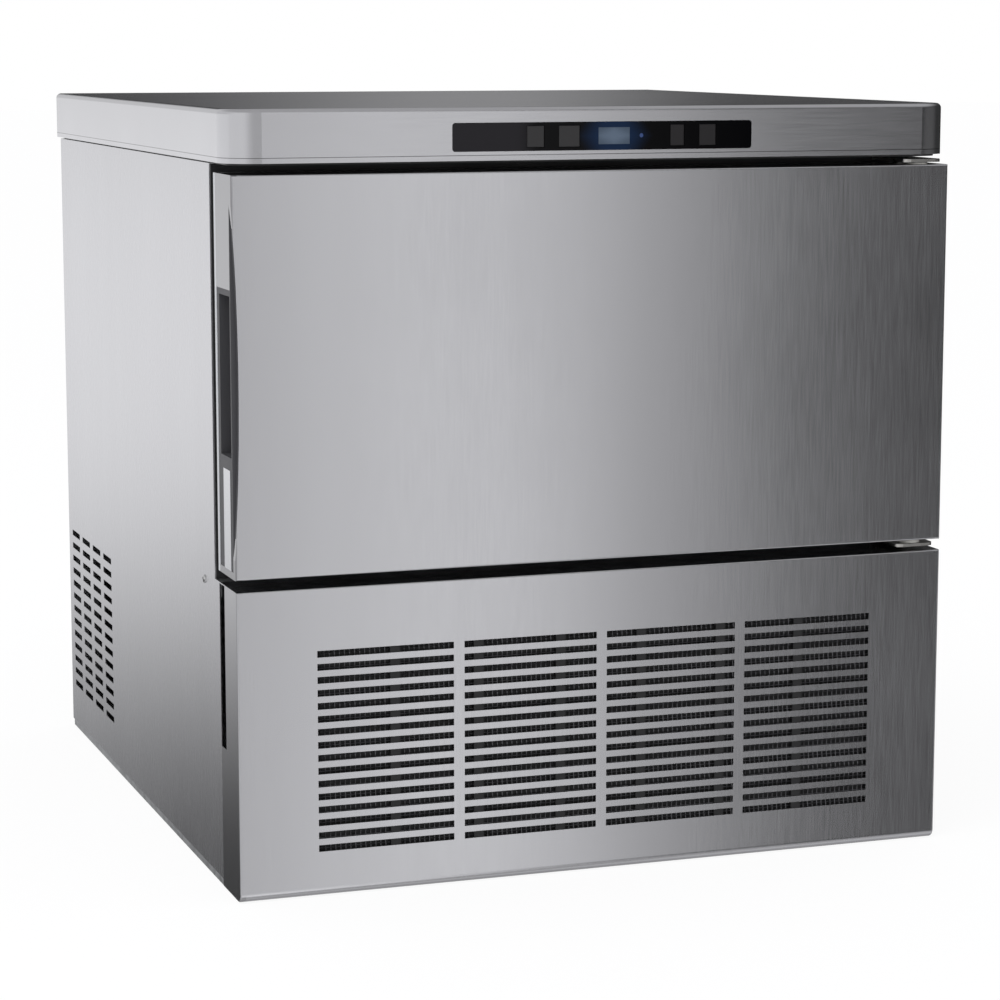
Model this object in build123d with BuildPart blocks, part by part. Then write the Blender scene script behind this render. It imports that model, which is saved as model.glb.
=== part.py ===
from build123d import *
import os

# Overall sizes, in millimetres. X runs across, Y runs back, Z runs up.
CABINET_WIDTH = 732.0
DEPTH = 820.0
HEIGHT = 748.0
LID_OVERHANG = 4.0
REAR_REACH = 20.0
SHEET = 1.2
half = CABINET_WIDTH / 2
inner = half - SHEET
front = -DEPTH / 2
back = DEPTH / 2 - REAR_REACH
rear_inner = back - SHEET
LID_WIDTH = CABINET_WIDTH + 2 * LID_OVERHANG

# Levels up the front, from the floor.
PANEL_SHARE = 75 / 187
SHELL_BOTTOM = 8.0
LID_HEIGHT = 52.0
DOOR_FOOT_GAP = 11.0
DOOR_HEAD_GAP = 8.0
PANEL_TOP = HEIGHT * PANEL_SHARE
LID_BOTTOM = HEIGHT - LID_HEIGHT
DOOR_BOTTOM = PANEL_TOP + DOOR_FOOT_GAP
DOOR_TOP = LID_BOTTOM - DOOR_HEAD_GAP

# Door and the gap that its seal fills.
DOOR_THICK = 66.0
SEAL_GAP = 14.0
DOOR_LINER_THICK = 6.0
HINGE_INSET_X = 24.0
HINGE_INSET_Y = 22.0
PIN_RADIUS = 4.0
PIN_CLEARANCE = 0.05
BUSH_RADIUS = 8.0
BUSH_LENGTH = 22.0

# Base pan and the sockets for screw-in legs.
PAN_SHEET = 1.5
PAN_WALL = 30.0
LEG_INSET_X = 56.0
LEG_INSET_Y = 110.0
LEG_SPACING_X = CABINET_WIDTH - 2 * LEG_INSET_X
LEG_SPACING_Y = DEPTH - 2 * LEG_INSET_Y
LEG_TAP_RADIUS = 4.25
LEG_COLLAR_RADIUS = 9.0
LEG_SOCKET_HEIGHT = 24.0

# Side and rear panels.
JAMB_STEP = 18.0
FRAME_PROUD = 2.0
SIDE_VENT_COLUMNS = 4
SIDE_VENT_ROWS = 13
SIDE_VENT_PITCH_Y = 58.0
SIDE_VENT_PITCH_Z = 15.0
SIDE_VENT_LENGTH = 42.0
SIDE_VENT_HEIGHT = 6.5
SIDE_VENT_INSET = 128.0
SIDE_VENT_Z = 146.0
REAR_VENT_COLUMNS = 4
REAR_VENT_ROWS = 12
REAR_VENT_PITCH_X = 62.0
REAR_VENT_PITCH_Z = 15.0
REAR_VENT_LENGTH = 46.0
REAR_VENT_HEIGHT = 6.5
REAR_VENT_X = 20.0

# Slotted lower front panel.
SLOT_COLUMNS = 4
SLOT_ROWS = 16
SLOT_MARGIN_X = 77.95
SLOT_RIB = 10.7
SLOT_PITCH_Z = 12.6
SLOT_HEIGHT = 6.5
SLOT_CENTRE_Z = 142.0
SLOT_WIDTH = (CABINET_WIDTH - 2 * SLOT_MARGIN_X - (SLOT_COLUMNS - 1) * SLOT_RIB) / SLOT_COLUMNS
PANEL_FLANGE = 45.0
PANEL_LOW_FLANGE_TOP = 140.0
PANEL_BEND = 9.0
PANEL_EDGE = 1.8

# Insulated ice bin.
FRAME_THICK = 8.0
BIN_SIDE_WALL = 46.0
BIN_FLOOR_WALL = 45.0
BIN_TOP_WALL = 44.0
BIN_REAR_WALL = 48.8
BIN_CORNER = 20.0
LINER_WALL = 4.0
BIN_HALF_WIDTH = half - BIN_SIDE_WALL
BIN_FLOOR = PANEL_TOP + BIN_FLOOR_WALL
BIN_CEILING = LID_BOTTOM - BIN_TOP_WALL
BIN_BACK = rear_inner - BIN_REAR_WALL

# Lid and its control window.
LID_CORNER = 34.0
LID_WALL = 1.5
LID_EDGE = 5.0
LID_SHADOW_GAP = 2.0
WINDOW_WIDTH = 305.0
WINDOW_HEIGHT = 27.0
WINDOW_DROP = 28.0
WINDOW_THICK = 4.0
WINDOW_RIM = 3.0
WINDOW_CLEARANCE = 0.2
WINDOW_Z = HEIGHT - WINDOW_DROP
KEY_HEIGHT = 20.0
KEY_WIDTHS_AT = ((-69.5, 17.0), (-35.5, 21.0), (75.0, 14.0), (106.5, 17.0))
KEY_TRAVEL = 1.2
KEY_GAP = 0.3
SCREEN_CENTRE_X = 10.0
SCREEN_WIDTH = 32.0
SCREEN_HEIGHT = 16.0
LAMP_X = 38.0
LAMP_RADIUS = 2.0

# Condenser, fan and compressor behind the grille.
FAN_INSET_X = 266.0
CONDENSER_FOOT = 24.0
CONDENSER_HEAD = 44.0
CONDENSER_SIDES = 402.0
CONDENSER_DEPTH = 44.0
CONDENSER_INSET_Y = 88.0
CONDENSER_WIDTH = CABINET_WIDTH - CONDENSER_SIDES
CONDENSER_HEIGHT = PANEL_TOP - CONDENSER_FOOT - CONDENSER_HEAD
CONDENSER_FRONT = front + CONDENSER_INSET_Y
FAN_AXIS = (FAN_INSET_X - half, CONDENSER_FOOT + CONDENSER_HEIGHT / 2)
FAN_RING_MARGIN = 6.0
FAN_TIP_GAP = 5.0
FAN_RING_RADIUS = CONDENSER_HEIGHT / 2 - FAN_RING_MARGIN
FAN_RADIUS = FAN_RING_RADIUS - FAN_TIP_GAP
FAN_BLADES = 5
FAN_SHAFT_RADIUS = 4.0
FIN_PITCH = 15.0
FIN_SLIT = 11.0
COMPRESSOR_INSET_X = 166.0
COMPRESSOR_INSET_Y = 220.0
COMPRESSOR_AT = (half - COMPRESSOR_INSET_X, back - COMPRESSOR_INSET_Y)
COMPRESSOR_RADIUS = 84.0
COMPRESSOR_TOP = 228.0

# Ice maker that hangs at the top rear of the bin.
MAKER_SIDE_GAP = 30.0
PUMP_ROOM = 105.0
MAKER_DEPTH = 288.0
MAKER_REAR_GAP = 22.0
MAKER_WALL = 3.0
MAKER_LEFT = MAKER_SIDE_GAP - BIN_HALF_WIDTH
MAKER_RIGHT = BIN_HALF_WIDTH - PUMP_ROOM
MAKER_BACK = BIN_BACK - MAKER_REAR_GAP
MAKER_FRONT = MAKER_BACK - MAKER_DEPTH
TANK_DROP = 174.0
TANK_HEIGHT = 60.0
TANK_RIM = BIN_CEILING - TANK_DROP
TANK_BOTTOM = TANK_RIM - TANK_HEIGHT
TANK_HALF_WIDTH = BIN_HALF_WIDTH - MAKER_SIDE_GAP
CUP_COLUMNS = 6
CUP_ROWS = 4
CUP_FIELD_MARGIN = 61.0
CUP_PITCH_X = (MAKER_RIGHT - MAKER_LEFT - CUP_FIELD_MARGIN) / CUP_COLUMNS
CUP_PITCH_Y = 60.0
CUP_SIZE = 44.0
CUP_DEPTH = 26.0
PLATE_DROP = 46.0
PLATE_THICK = 2.0
SPRAY_DROP = 136.0
PLATE_LEVEL = BIN_CEILING - PLATE_DROP
SPRAY_LEVEL = BIN_CEILING - SPRAY_DROP
CURTAIN_AHEAD = 7.0
CURTAIN_PIVOT = (MAKER_FRONT - CURTAIN_AHEAD, PLATE_LEVEL - PLATE_THICK)
CURTAIN_PIN = 3.0
CURTAIN_LENGTH = 104.0

# Pipes and rear fittings.
PIPE_RADIUS = 4.5
THIN_PIPE_RADIUS = 3.5
PIPE_SIDES = 8
HOSE_RADIUS = 10.0
NUT_THICK = 4.0
FITTING_CLEARANCE = 1.0
NECK_CLEARANCE = 0.2
DRAIN_INSET_X = 136.0
DRAIN_DROP = 110.0
DRAIN_RADIUS = 12.0
DRAIN_AT = (DRAIN_INSET_X - half, PANEL_TOP - DRAIN_DROP)
INLET_INSET_X = 66.0
INLET_DROP = 85.0
INLET_RADIUS = 13.0
INLET_AT = (half - INLET_INSET_X, PANEL_TOP - INLET_DROP)
GLAND_INSET_X = 66.0
GLAND_Z = 110.0
GLAND_BORE = 4.5
GLAND_NECK = 8.0
GLAND_AT = (GLAND_INSET_X - half, GLAND_Z)

# Places that follow from the sizes above.
door_rear = front + DOOR_THICK
frame_front = door_rear + SEAL_GAP
side_front = frame_front + FRAME_PROUD
jamb_front = side_front - JAMB_STEP
frame_rear = frame_front + FRAME_THICK
liner_front = frame_rear
pan_centre_y = (jamb_front + rear_inner) / 2
hinge_x = half - HINGE_INSET_X
hinge_y = front + HINGE_INSET_Y
deck_bottom = PANEL_TOP - SHEET

os.makedirs("parts", exist_ok=True)


def block(x, y, z, mode=Mode.ADD):
    """Adds or cuts the box that spans the three (low, high) pairs."""
    with Locations(((x[0] + x[1]) / 2, (y[0] + y[1]) / 2, (z[0] + z[1]) / 2)):
        Box(x[1] - x[0], y[1] - y[0], z[1] - z[0], mode=mode)


def post(at, radius, z, mode=Mode.ADD):
    """Adds or cuts an upright cylinder between two levels."""
    with Locations((at[0], at[1], z[0])):
        Cylinder(radius, z[1] - z[0], align=(Align.CENTER, Align.CENTER, Align.MIN), mode=mode)


def rod_y(at, radius, y, mode=Mode.ADD):
    """Adds or cuts a cylinder that runs back at (x, z) between two depths."""
    with Locations(Location((at[0], y[0], at[1]), (-90, 0, 0))):
        Cylinder(radius, y[1] - y[0], align=(Align.CENTER, Align.CENTER, Align.MIN), mode=mode)


def rod_x(at, radius, x, mode=Mode.ADD):
    """Adds or cuts a cylinder that runs across at (y, z) between two places."""
    with Locations(Location((x[0], at[0], at[1]), (0, 90, 0))):
        Cylinder(radius, x[1] - x[0], align=(Align.CENTER, Align.CENTER, Align.MIN), mode=mode)


def write(name, part):
    """Labels one finished piece and writes its file."""
    part.part.label = name
    export_step(part.part, f"parts/{name}.step")


# Base pan: a folded tray with four holes for the leg sockets.
with BuildPart() as base_pan:
    block((-inner, inner), (jamb_front, rear_inner), (0, PAN_WALL))
    block((-inner + PAN_SHEET, inner - PAN_SHEET), (jamb_front + PAN_SHEET, rear_inner - PAN_SHEET),
          (PAN_SHEET, PAN_WALL), Mode.SUBTRACT)
    with Locations((0, pan_centre_y, 0)):
        with GridLocations(LEG_SPACING_X, LEG_SPACING_Y, 2, 2):
            Cylinder(LEG_COLLAR_RADIUS, 4 * PAN_SHEET, mode=Mode.SUBTRACT)
write("base_pan", base_pan)

# Leg sockets: four turned steel bushes, tapped from below.
SOCKET_FLANGE_RADIUS = 15.0
SOCKET_FLANGE_THICK = 4.0
with BuildPart() as leg_sockets:
    with BuildSketch(Plane.XZ):
        with BuildLine():
            Polyline(
                (LEG_TAP_RADIUS, 0), (LEG_COLLAR_RADIUS, 0), (LEG_COLLAR_RADIUS, PAN_SHEET),
                (SOCKET_FLANGE_RADIUS, PAN_SHEET),
                (SOCKET_FLANGE_RADIUS, PAN_SHEET + SOCKET_FLANGE_THICK),
                (LEG_COLLAR_RADIUS, PAN_SHEET + SOCKET_FLANGE_THICK),
                (LEG_COLLAR_RADIUS, LEG_SOCKET_HEIGHT), (LEG_TAP_RADIUS, LEG_SOCKET_HEIGHT),
                close=True)
        make_face()
    socket = revolve(axis=Axis.Z, mode=Mode.PRIVATE)
    with Locations((0, pan_centre_y, 0)):
        with GridLocations(LEG_SPACING_X, LEG_SPACING_Y, 2, 2):
            add(socket)
write("leg_sockets", leg_sockets)

# Side panels: stepped sheets with a top flange and a slotted vent low at the rear.
SIDE_FLANGE = 20.0
with BuildPart() as left_side_panel:
    with BuildSketch(Plane.YZ.offset(-half)):
        with BuildLine():
            Polyline(
                (jamb_front, SHELL_BOTTOM), (back, SHELL_BOTTOM), (back, LID_BOTTOM),
                (side_front, LID_BOTTOM), (side_front, PANEL_TOP), (jamb_front, PANEL_TOP),
                close=True)
        make_face()
        with Locations((back - SIDE_VENT_INSET, SIDE_VENT_Z)):
            with GridLocations(SIDE_VENT_PITCH_Y, SIDE_VENT_PITCH_Z, SIDE_VENT_COLUMNS, SIDE_VENT_ROWS):
                Rectangle(SIDE_VENT_LENGTH, SIDE_VENT_HEIGHT, mode=Mode.SUBTRACT)
    extrude(amount=SHEET)
    block((-half, -half + SIDE_FLANGE), (frame_rear, rear_inner), (LID_BOTTOM - SHEET, LID_BOTTOM))
with BuildPart() as right_side_panel:
    mirror(left_side_panel.part, about=Plane.YZ)
write("left_side_panel", left_side_panel)
write("right_side_panel", right_side_panel)

# Rear panel: flat sheet with a vent and the holes for the three fittings.
with BuildPart() as rear_panel:
    with BuildSketch(Plane.XZ.offset(-rear_inner)):
        with Locations((0, (SHELL_BOTTOM + LID_BOTTOM - SHEET) / 2)):
            Rectangle(2 * inner, LID_BOTTOM - SHEET - SHELL_BOTTOM)
        with Locations((REAR_VENT_X, PANEL_TOP / 2)):
            with GridLocations(REAR_VENT_PITCH_X, REAR_VENT_PITCH_Z, REAR_VENT_COLUMNS, REAR_VENT_ROWS):
                Rectangle(REAR_VENT_LENGTH, REAR_VENT_HEIGHT, mode=Mode.SUBTRACT)
        with Locations(DRAIN_AT):
            Circle(DRAIN_RADIUS + FITTING_CLEARANCE, mode=Mode.SUBTRACT)
        with Locations(INLET_AT):
            Circle(INLET_RADIUS + FITTING_CLEARANCE, mode=Mode.SUBTRACT)
        with Locations(GLAND_AT):
            Circle(GLAND_NECK + NECK_CLEARANCE, mode=Mode.SUBTRACT)
    extrude(amount=-SHEET)
write("rear_panel", rear_panel)

# Deck: the sheet that parts the machine space from the bin above it. Two welded
# tongues at its front edge hold the top flange of the lower front panel.
DECK_FLANGE = 14.0
TONGUE_X = half - 116.0
TONGUE_WIDTH = 40.0
TONGUE_THICK = 3.0
TONGUE_LAP = 15.0
DUCT_RIGHT = half - 116.0
DUCT_WIDTH = 120.0
DUCT_X = (DUCT_RIGHT - DUCT_WIDTH, DUCT_RIGHT)
DRAIN_HOLE_INSET = 40.0
DRAIN_HOLE_GAP = 1.0
DRAIN_HOLE_Y = BIN_BACK - DRAIN_HOLE_INSET
with BuildPart() as machine_deck:
    block((-inner, inner), (jamb_front, rear_inner), (deck_bottom, PANEL_TOP))
    for side in (-1, 1):
        edges_x = sorted((side * inner, side * (inner - SHEET)))
        block(edges_x, (jamb_front, rear_inner), (deck_bottom - DECK_FLANGE, deck_bottom))
    block(DUCT_X, (BIN_BACK + LINER_WALL, rear_inner), (deck_bottom, PANEL_TOP), Mode.SUBTRACT)
    post((DRAIN_AT[0], DRAIN_HOLE_Y), DRAIN_RADIUS + DRAIN_HOLE_GAP, (deck_bottom, PANEL_TOP),
         Mode.SUBTRACT)
    for side in (-1, 1):
        tongue_x = (side * TONGUE_X - TONGUE_WIDTH / 2, side * TONGUE_X + TONGUE_WIDTH / 2)
        block(tongue_x, (front + PANEL_FLANGE - TONGUE_LAP, jamb_front + TONGUE_LAP),
              (deck_bottom - TONGUE_THICK, deck_bottom))
write("machine_deck", machine_deck)

# Front frame: the black ring round the bin's mouth that the door's seal meets.
opening_centre_z = (BIN_FLOOR + BIN_CEILING) / 2
opening_height = BIN_CEILING - BIN_FLOOR
with BuildPart() as front_frame:
    with BuildSketch(Plane.XZ.offset(-frame_front)):
        with Locations((0, (PANEL_TOP + LID_BOTTOM - SHEET) / 2)):
            Rectangle(2 * inner, LID_BOTTOM - SHEET - PANEL_TOP)
        with Locations((0, opening_centre_z)):
            RectangleRounded(2 * BIN_HALF_WIDTH, opening_height, BIN_CORNER, mode=Mode.SUBTRACT)
    extrude(amount=-FRAME_THICK)
write("front_frame", front_frame)

# Bin liner: one moulded tub on its side, with a ledge each side for the water tank.
LEDGE_WIDTH = 16.0
LEDGE_HEIGHT = 8.0
BIN_DRAIN_RADIUS = 12.0
PIPE_HOLE_GAP = 1.0
PIPE_HOLE_REACH = 12.0
MAKER_PIPE_GAP = 40.0
MAKER_PIPE_RIGHT = half - 176.0
MAKER_PIPE_X = (MAKER_PIPE_RIGHT - MAKER_PIPE_GAP, MAKER_PIPE_RIGHT)
MAKER_PIPE_Z = PLATE_LEVEL + PLATE_THICK + CUP_DEPTH + PIPE_RADIUS
with BuildPart() as bin_liner:
    block((-BIN_HALF_WIDTH - LINER_WALL, BIN_HALF_WIDTH + LINER_WALL),
          (liner_front, BIN_BACK + LINER_WALL),
          (BIN_FLOOR - LINER_WALL, BIN_CEILING + LINER_WALL))
    rear_edges = bin_liner.edges().group_by(Axis.Y)[-1]
    fillet(bin_liner.edges().filter_by(Axis.Y) + rear_edges, BIN_CORNER + LINER_WALL)
    offset(amount=-LINER_WALL, openings=bin_liner.faces().sort_by(Axis.Y)[0])
    for side in (-1, 1):
        ledge_x = sorted((side * BIN_HALF_WIDTH, side * (BIN_HALF_WIDTH - LEDGE_WIDTH)))
        block(ledge_x, (MAKER_FRONT, BIN_BACK - BIN_CORNER), (TANK_RIM - LEDGE_HEIGHT, TANK_RIM))
    post((DRAIN_AT[0], DRAIN_HOLE_Y), BIN_DRAIN_RADIUS, (BIN_FLOOR - 2 * LINER_WALL,
                                                         BIN_FLOOR + LINER_WALL),
         Mode.SUBTRACT)
    for x in MAKER_PIPE_X:
        rod_y((x, MAKER_PIPE_Z), PIPE_RADIUS + PIPE_HOLE_GAP, (BIN_BACK - LINER_WALL,
                                                               BIN_BACK + PIPE_HOLE_REACH),
              Mode.SUBTRACT)
write("bin_liner", bin_liner)

# Foam: fills the space between the liner and the outer sheets, with a rear duct for pipes.
DUCT_HEADROOM = 20.0
DUCT_TOP = MAKER_PIPE_Z + DUCT_HEADROOM
with BuildPart() as bin_insulation:
    block((-inner, inner), (liner_front, rear_inner), (PANEL_TOP, LID_BOTTOM - SHEET))
    with BuildSketch(Plane.XZ.offset(-liner_front)):
        with Locations((0, opening_centre_z)):
            RectangleRounded(2 * (BIN_HALF_WIDTH + LINER_WALL), opening_height + 2 * LINER_WALL,
                             BIN_CORNER + LINER_WALL)
    extrude(amount=liner_front - BIN_BACK - LINER_WALL, mode=Mode.SUBTRACT)
    block(DUCT_X, (BIN_BACK + LINER_WALL, rear_inner), (PANEL_TOP, DUCT_TOP), Mode.SUBTRACT)
    post((DRAIN_AT[0], DRAIN_HOLE_Y), DRAIN_RADIUS + DRAIN_HOLE_GAP, (PANEL_TOP, BIN_FLOOR), Mode.SUBTRACT)
write("bin_insulation", bin_insulation)

# Lower front panel: a folded cover, bent under at the foot, with four columns of slots.
with BuildPart() as lower_front_panel:
    block((-half, half), (front, jamb_front), (0, PANEL_TOP))
    foot = lower_front_panel.edges().group_by(Axis.Z)[0]
    fillet(foot.filter_by(Axis.X).sort_by(Axis.Y)[0], PANEL_BEND)
    corners = lower_front_panel.edges().filter_by(Axis.Z).group_by(Axis.Y)[0]
    head = lower_front_panel.edges().filter_by(Axis.X).group_by(Axis.Z)[-1]
    fillet(corners + head.sort_by(Axis.Y)[0], PANEL_EDGE)
    with BuildPart(mode=Mode.PRIVATE) as hollow:
        block((SHEET - half, half - SHEET), (front + SHEET, jamb_front + SHEET), (SHEET, PANEL_TOP - SHEET))
        hollow_foot = hollow.edges().group_by(Axis.Z)[0]
        fillet(hollow_foot.filter_by(Axis.X).sort_by(Axis.Y)[0], PANEL_BEND - SHEET)
    add(hollow.part, mode=Mode.SUBTRACT)
    block((-half, half), (front + PANEL_FLANGE, jamb_front), (PANEL_LOW_FLANGE_TOP, deck_bottom),
          Mode.SUBTRACT)
    with BuildSketch(Plane.XZ.offset(-front)):
        with Locations((0, SLOT_CENTRE_Z)):
            with GridLocations(SLOT_WIDTH + SLOT_RIB, SLOT_PITCH_Z, SLOT_COLUMNS, SLOT_ROWS):
                Rectangle(SLOT_WIDTH, SLOT_HEIGHT)
    extrude(amount=-2 * SHEET, mode=Mode.SUBTRACT)
write("lower_front_panel", lower_front_panel)

# Air filter: a framed panel clipped behind the slots.
FILTER_HALF_WIDTH = half - 66.0
FILTER_HALF_HEIGHT = 108.0
FILTER_THICK = 6.0
FILTER_BACK = 1.2
FILTER_RAIL = 10.0
FILTER_BARS = 7
filter_z = (SLOT_CENTRE_Z - FILTER_HALF_HEIGHT, SLOT_CENTRE_Z + FILTER_HALF_HEIGHT)
filter_rear = front + SHEET + FILTER_THICK
with BuildPart() as air_filter:
    block((-FILTER_HALF_WIDTH, FILTER_HALF_WIDTH), (front + SHEET, filter_rear), filter_z)
    bay = (2 * FILTER_HALF_WIDTH - FILTER_RAIL * (FILTER_BARS + 1)) / FILTER_BARS
    for index in range(FILTER_BARS):
        bay_left = -FILTER_HALF_WIDTH + FILTER_RAIL + index * (bay + FILTER_RAIL)
        block((bay_left, bay_left + bay), (front, filter_rear - FILTER_BACK),
              (filter_z[0] + FILTER_RAIL, filter_z[1] - FILTER_RAIL), Mode.SUBTRACT)
write("air_filter", air_filter)

# Condenser: finned block on two end plates, with hairpin bends brazed on at the right end.
condenser_x = (FAN_AXIS[0] - CONDENSER_WIDTH / 2, FAN_AXIS[0] + CONDENSER_WIDTH / 2)
condenser_y = (CONDENSER_FRONT, CONDENSER_FRONT + CONDENSER_DEPTH)
condenser_z = (FAN_AXIS[1] - CONDENSER_HEIGHT / 2, FAN_AXIS[1] + CONDENSER_HEIGHT / 2)
END_PLATE = 3.0
END_PLATE_LIP = 4.0
END_PLATE_HEAD = 6.0
FIN_CORE = 16.0
FIN_FRAME = 4.0
BEND_ROWS = 5
BEND_PITCH = 40.0
BEND_HALF = 10.0
BEND_REACH = 24.0
BEND_FOOT = 32.0
fin_count = int((CONDENSER_WIDTH - 2 * END_PLATE) // FIN_PITCH)
slit_depth = (CONDENSER_DEPTH - FIN_CORE) / 2
with BuildPart() as condenser:
    block(condenser_x, condenser_y, condenser_z)
    for slit_y in ((condenser_y[0] + slit_depth / 2), (condenser_y[1] - slit_depth / 2)):
        with Locations((FAN_AXIS[0], slit_y, FAN_AXIS[1])):
            with GridLocations(FIN_PITCH, 0, fin_count, 1):
                Box(FIN_SLIT, slit_depth, CONDENSER_HEIGHT - 2 * FIN_FRAME, mode=Mode.SUBTRACT)
    for end_x in condenser_x:
        block((end_x - END_PLATE / 2, end_x + END_PLATE / 2), (condenser_y[0] - END_PLATE_LIP,
                                                               condenser_y[1]),
              (PAN_SHEET, condenser_z[1] + END_PLATE_HEAD))
bend_x = condenser_x[1] + END_PLATE / 2
bend_y = (condenser_y[0] + condenser_y[1]) / 2
with condenser:
    for row in range(BEND_ROWS):
        row_z = condenser_z[0] + BEND_FOOT + row * BEND_PITCH
        with BuildLine(mode=Mode.PRIVATE) as bend_path:
            FilletPolyline(
                (bend_x, bend_y, row_z - BEND_HALF), (bend_x + BEND_REACH, bend_y, row_z - BEND_HALF),
                (bend_x + BEND_REACH, bend_y, row_z + BEND_HALF), (bend_x, bend_y, row_z + BEND_HALF),
                radius=2 * PIPE_RADIUS)
        with BuildSketch(Plane(origin=bend_path.line @ 0, z_dir=bend_path.line % 0)):
            RegularPolygon(PIPE_RADIUS, PIPE_SIDES)
        sweep(path=bend_path.line)
write("condenser", condenser)

# Fan shroud: a box on the condenser's back that narrows to a ring, with a motor bracket.
SHROUD_DEPTH = 34.0
SHROUD_WALL = 2.5
RING_DEPTH = 26.0
MOTOR_RADIUS = 40.0
MOTOR_LENGTH = 70.0
SPOKE_WIDTH = 12.0
SPOKE_THICK = 4.0
MOTOR_GAP = 8.0
MOTOR_EDGE = 8.0
SHAFT_HOLE_GAP = 4.0
shroud_back = condenser_y[1] + SHROUD_DEPTH
ring_back = shroud_back + RING_DEPTH
motor_front = ring_back + MOTOR_GAP
with BuildPart() as fan_shroud:
    block((condenser_x[0] + END_PLATE, condenser_x[1] - END_PLATE), (condenser_y[1], shroud_back),
          condenser_z)
    block((condenser_x[0] + END_PLATE + SHROUD_WALL, condenser_x[1] - END_PLATE - SHROUD_WALL),
          (condenser_y[1], shroud_back - SHROUD_WALL),
          (condenser_z[0] + SHROUD_WALL, condenser_z[1] - SHROUD_WALL), Mode.SUBTRACT)
    rod_y(FAN_AXIS, FAN_RING_RADIUS + SHROUD_WALL, (shroud_back - SHROUD_WALL, ring_back))
    rod_y(FAN_AXIS, FAN_RING_RADIUS, (condenser_y[1], ring_back), Mode.SUBTRACT)
    for turn in (45, 135):
        with Locations(Location((FAN_AXIS[0], ring_back + SPOKE_THICK / 2, FAN_AXIS[1]), (0, turn, 0))):
            Box(2 * FAN_RING_RADIUS + 2 * SHROUD_WALL, SPOKE_THICK, SPOKE_WIDTH)
    rod_y(FAN_AXIS, MOTOR_RADIUS, (ring_back, motor_front))
    rod_y(FAN_AXIS, FAN_SHAFT_RADIUS + SHAFT_HOLE_GAP, (ring_back, motor_front), Mode.SUBTRACT)
write("fan_shroud", fan_shroud)

# Fan motor: finned can whose shaft carries the blades.
with BuildPart() as fan_motor:
    rod_y(FAN_AXIS, MOTOR_RADIUS, (motor_front, motor_front + MOTOR_LENGTH))
    chamfer(fan_motor.edges().group_by(Axis.Y)[-1], MOTOR_EDGE)
    rod_y(FAN_AXIS, FAN_SHAFT_RADIUS, (shroud_back + SPOKE_THICK, motor_front))
write("fan_motor", fan_motor)

# Fan blades: a hub on the shaft with pitched blades.
HUB_RADIUS = 24.0
HUB_LEAD = 2.0
HUB_LENGTH = 22.0
BLADE_THICK = 1.6
BLADE_CHORD = 46.0
BLADE_PITCH = 24.0
BLADE_ROOT = 3.0
hub_y = (shroud_back - HUB_LEAD, shroud_back - HUB_LEAD + HUB_LENGTH)
blade_y = (hub_y[0] + hub_y[1]) / 2
with BuildPart() as fan_blades:
    for index in range(FAN_BLADES):
        angle = index * 360 / FAN_BLADES
        with Locations(Location((FAN_AXIS[0], blade_y, FAN_AXIS[1]), (0, angle, 0))):
            with Locations(Location(((HUB_RADIUS + FAN_RADIUS) / 2 - BLADE_ROOT, 0, 0),
                                    (BLADE_PITCH, 0, 0))):
                Box(FAN_RADIUS - HUB_RADIUS + BLADE_ROOT, BLADE_THICK, BLADE_CHORD)
    rod_y(FAN_AXIS, HUB_RADIUS, hub_y)
    rod_y(FAN_AXIS, FAN_SHAFT_RADIUS + PIN_CLEARANCE, hub_y, Mode.SUBTRACT)
write("fan_blades", fan_blades)

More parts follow.
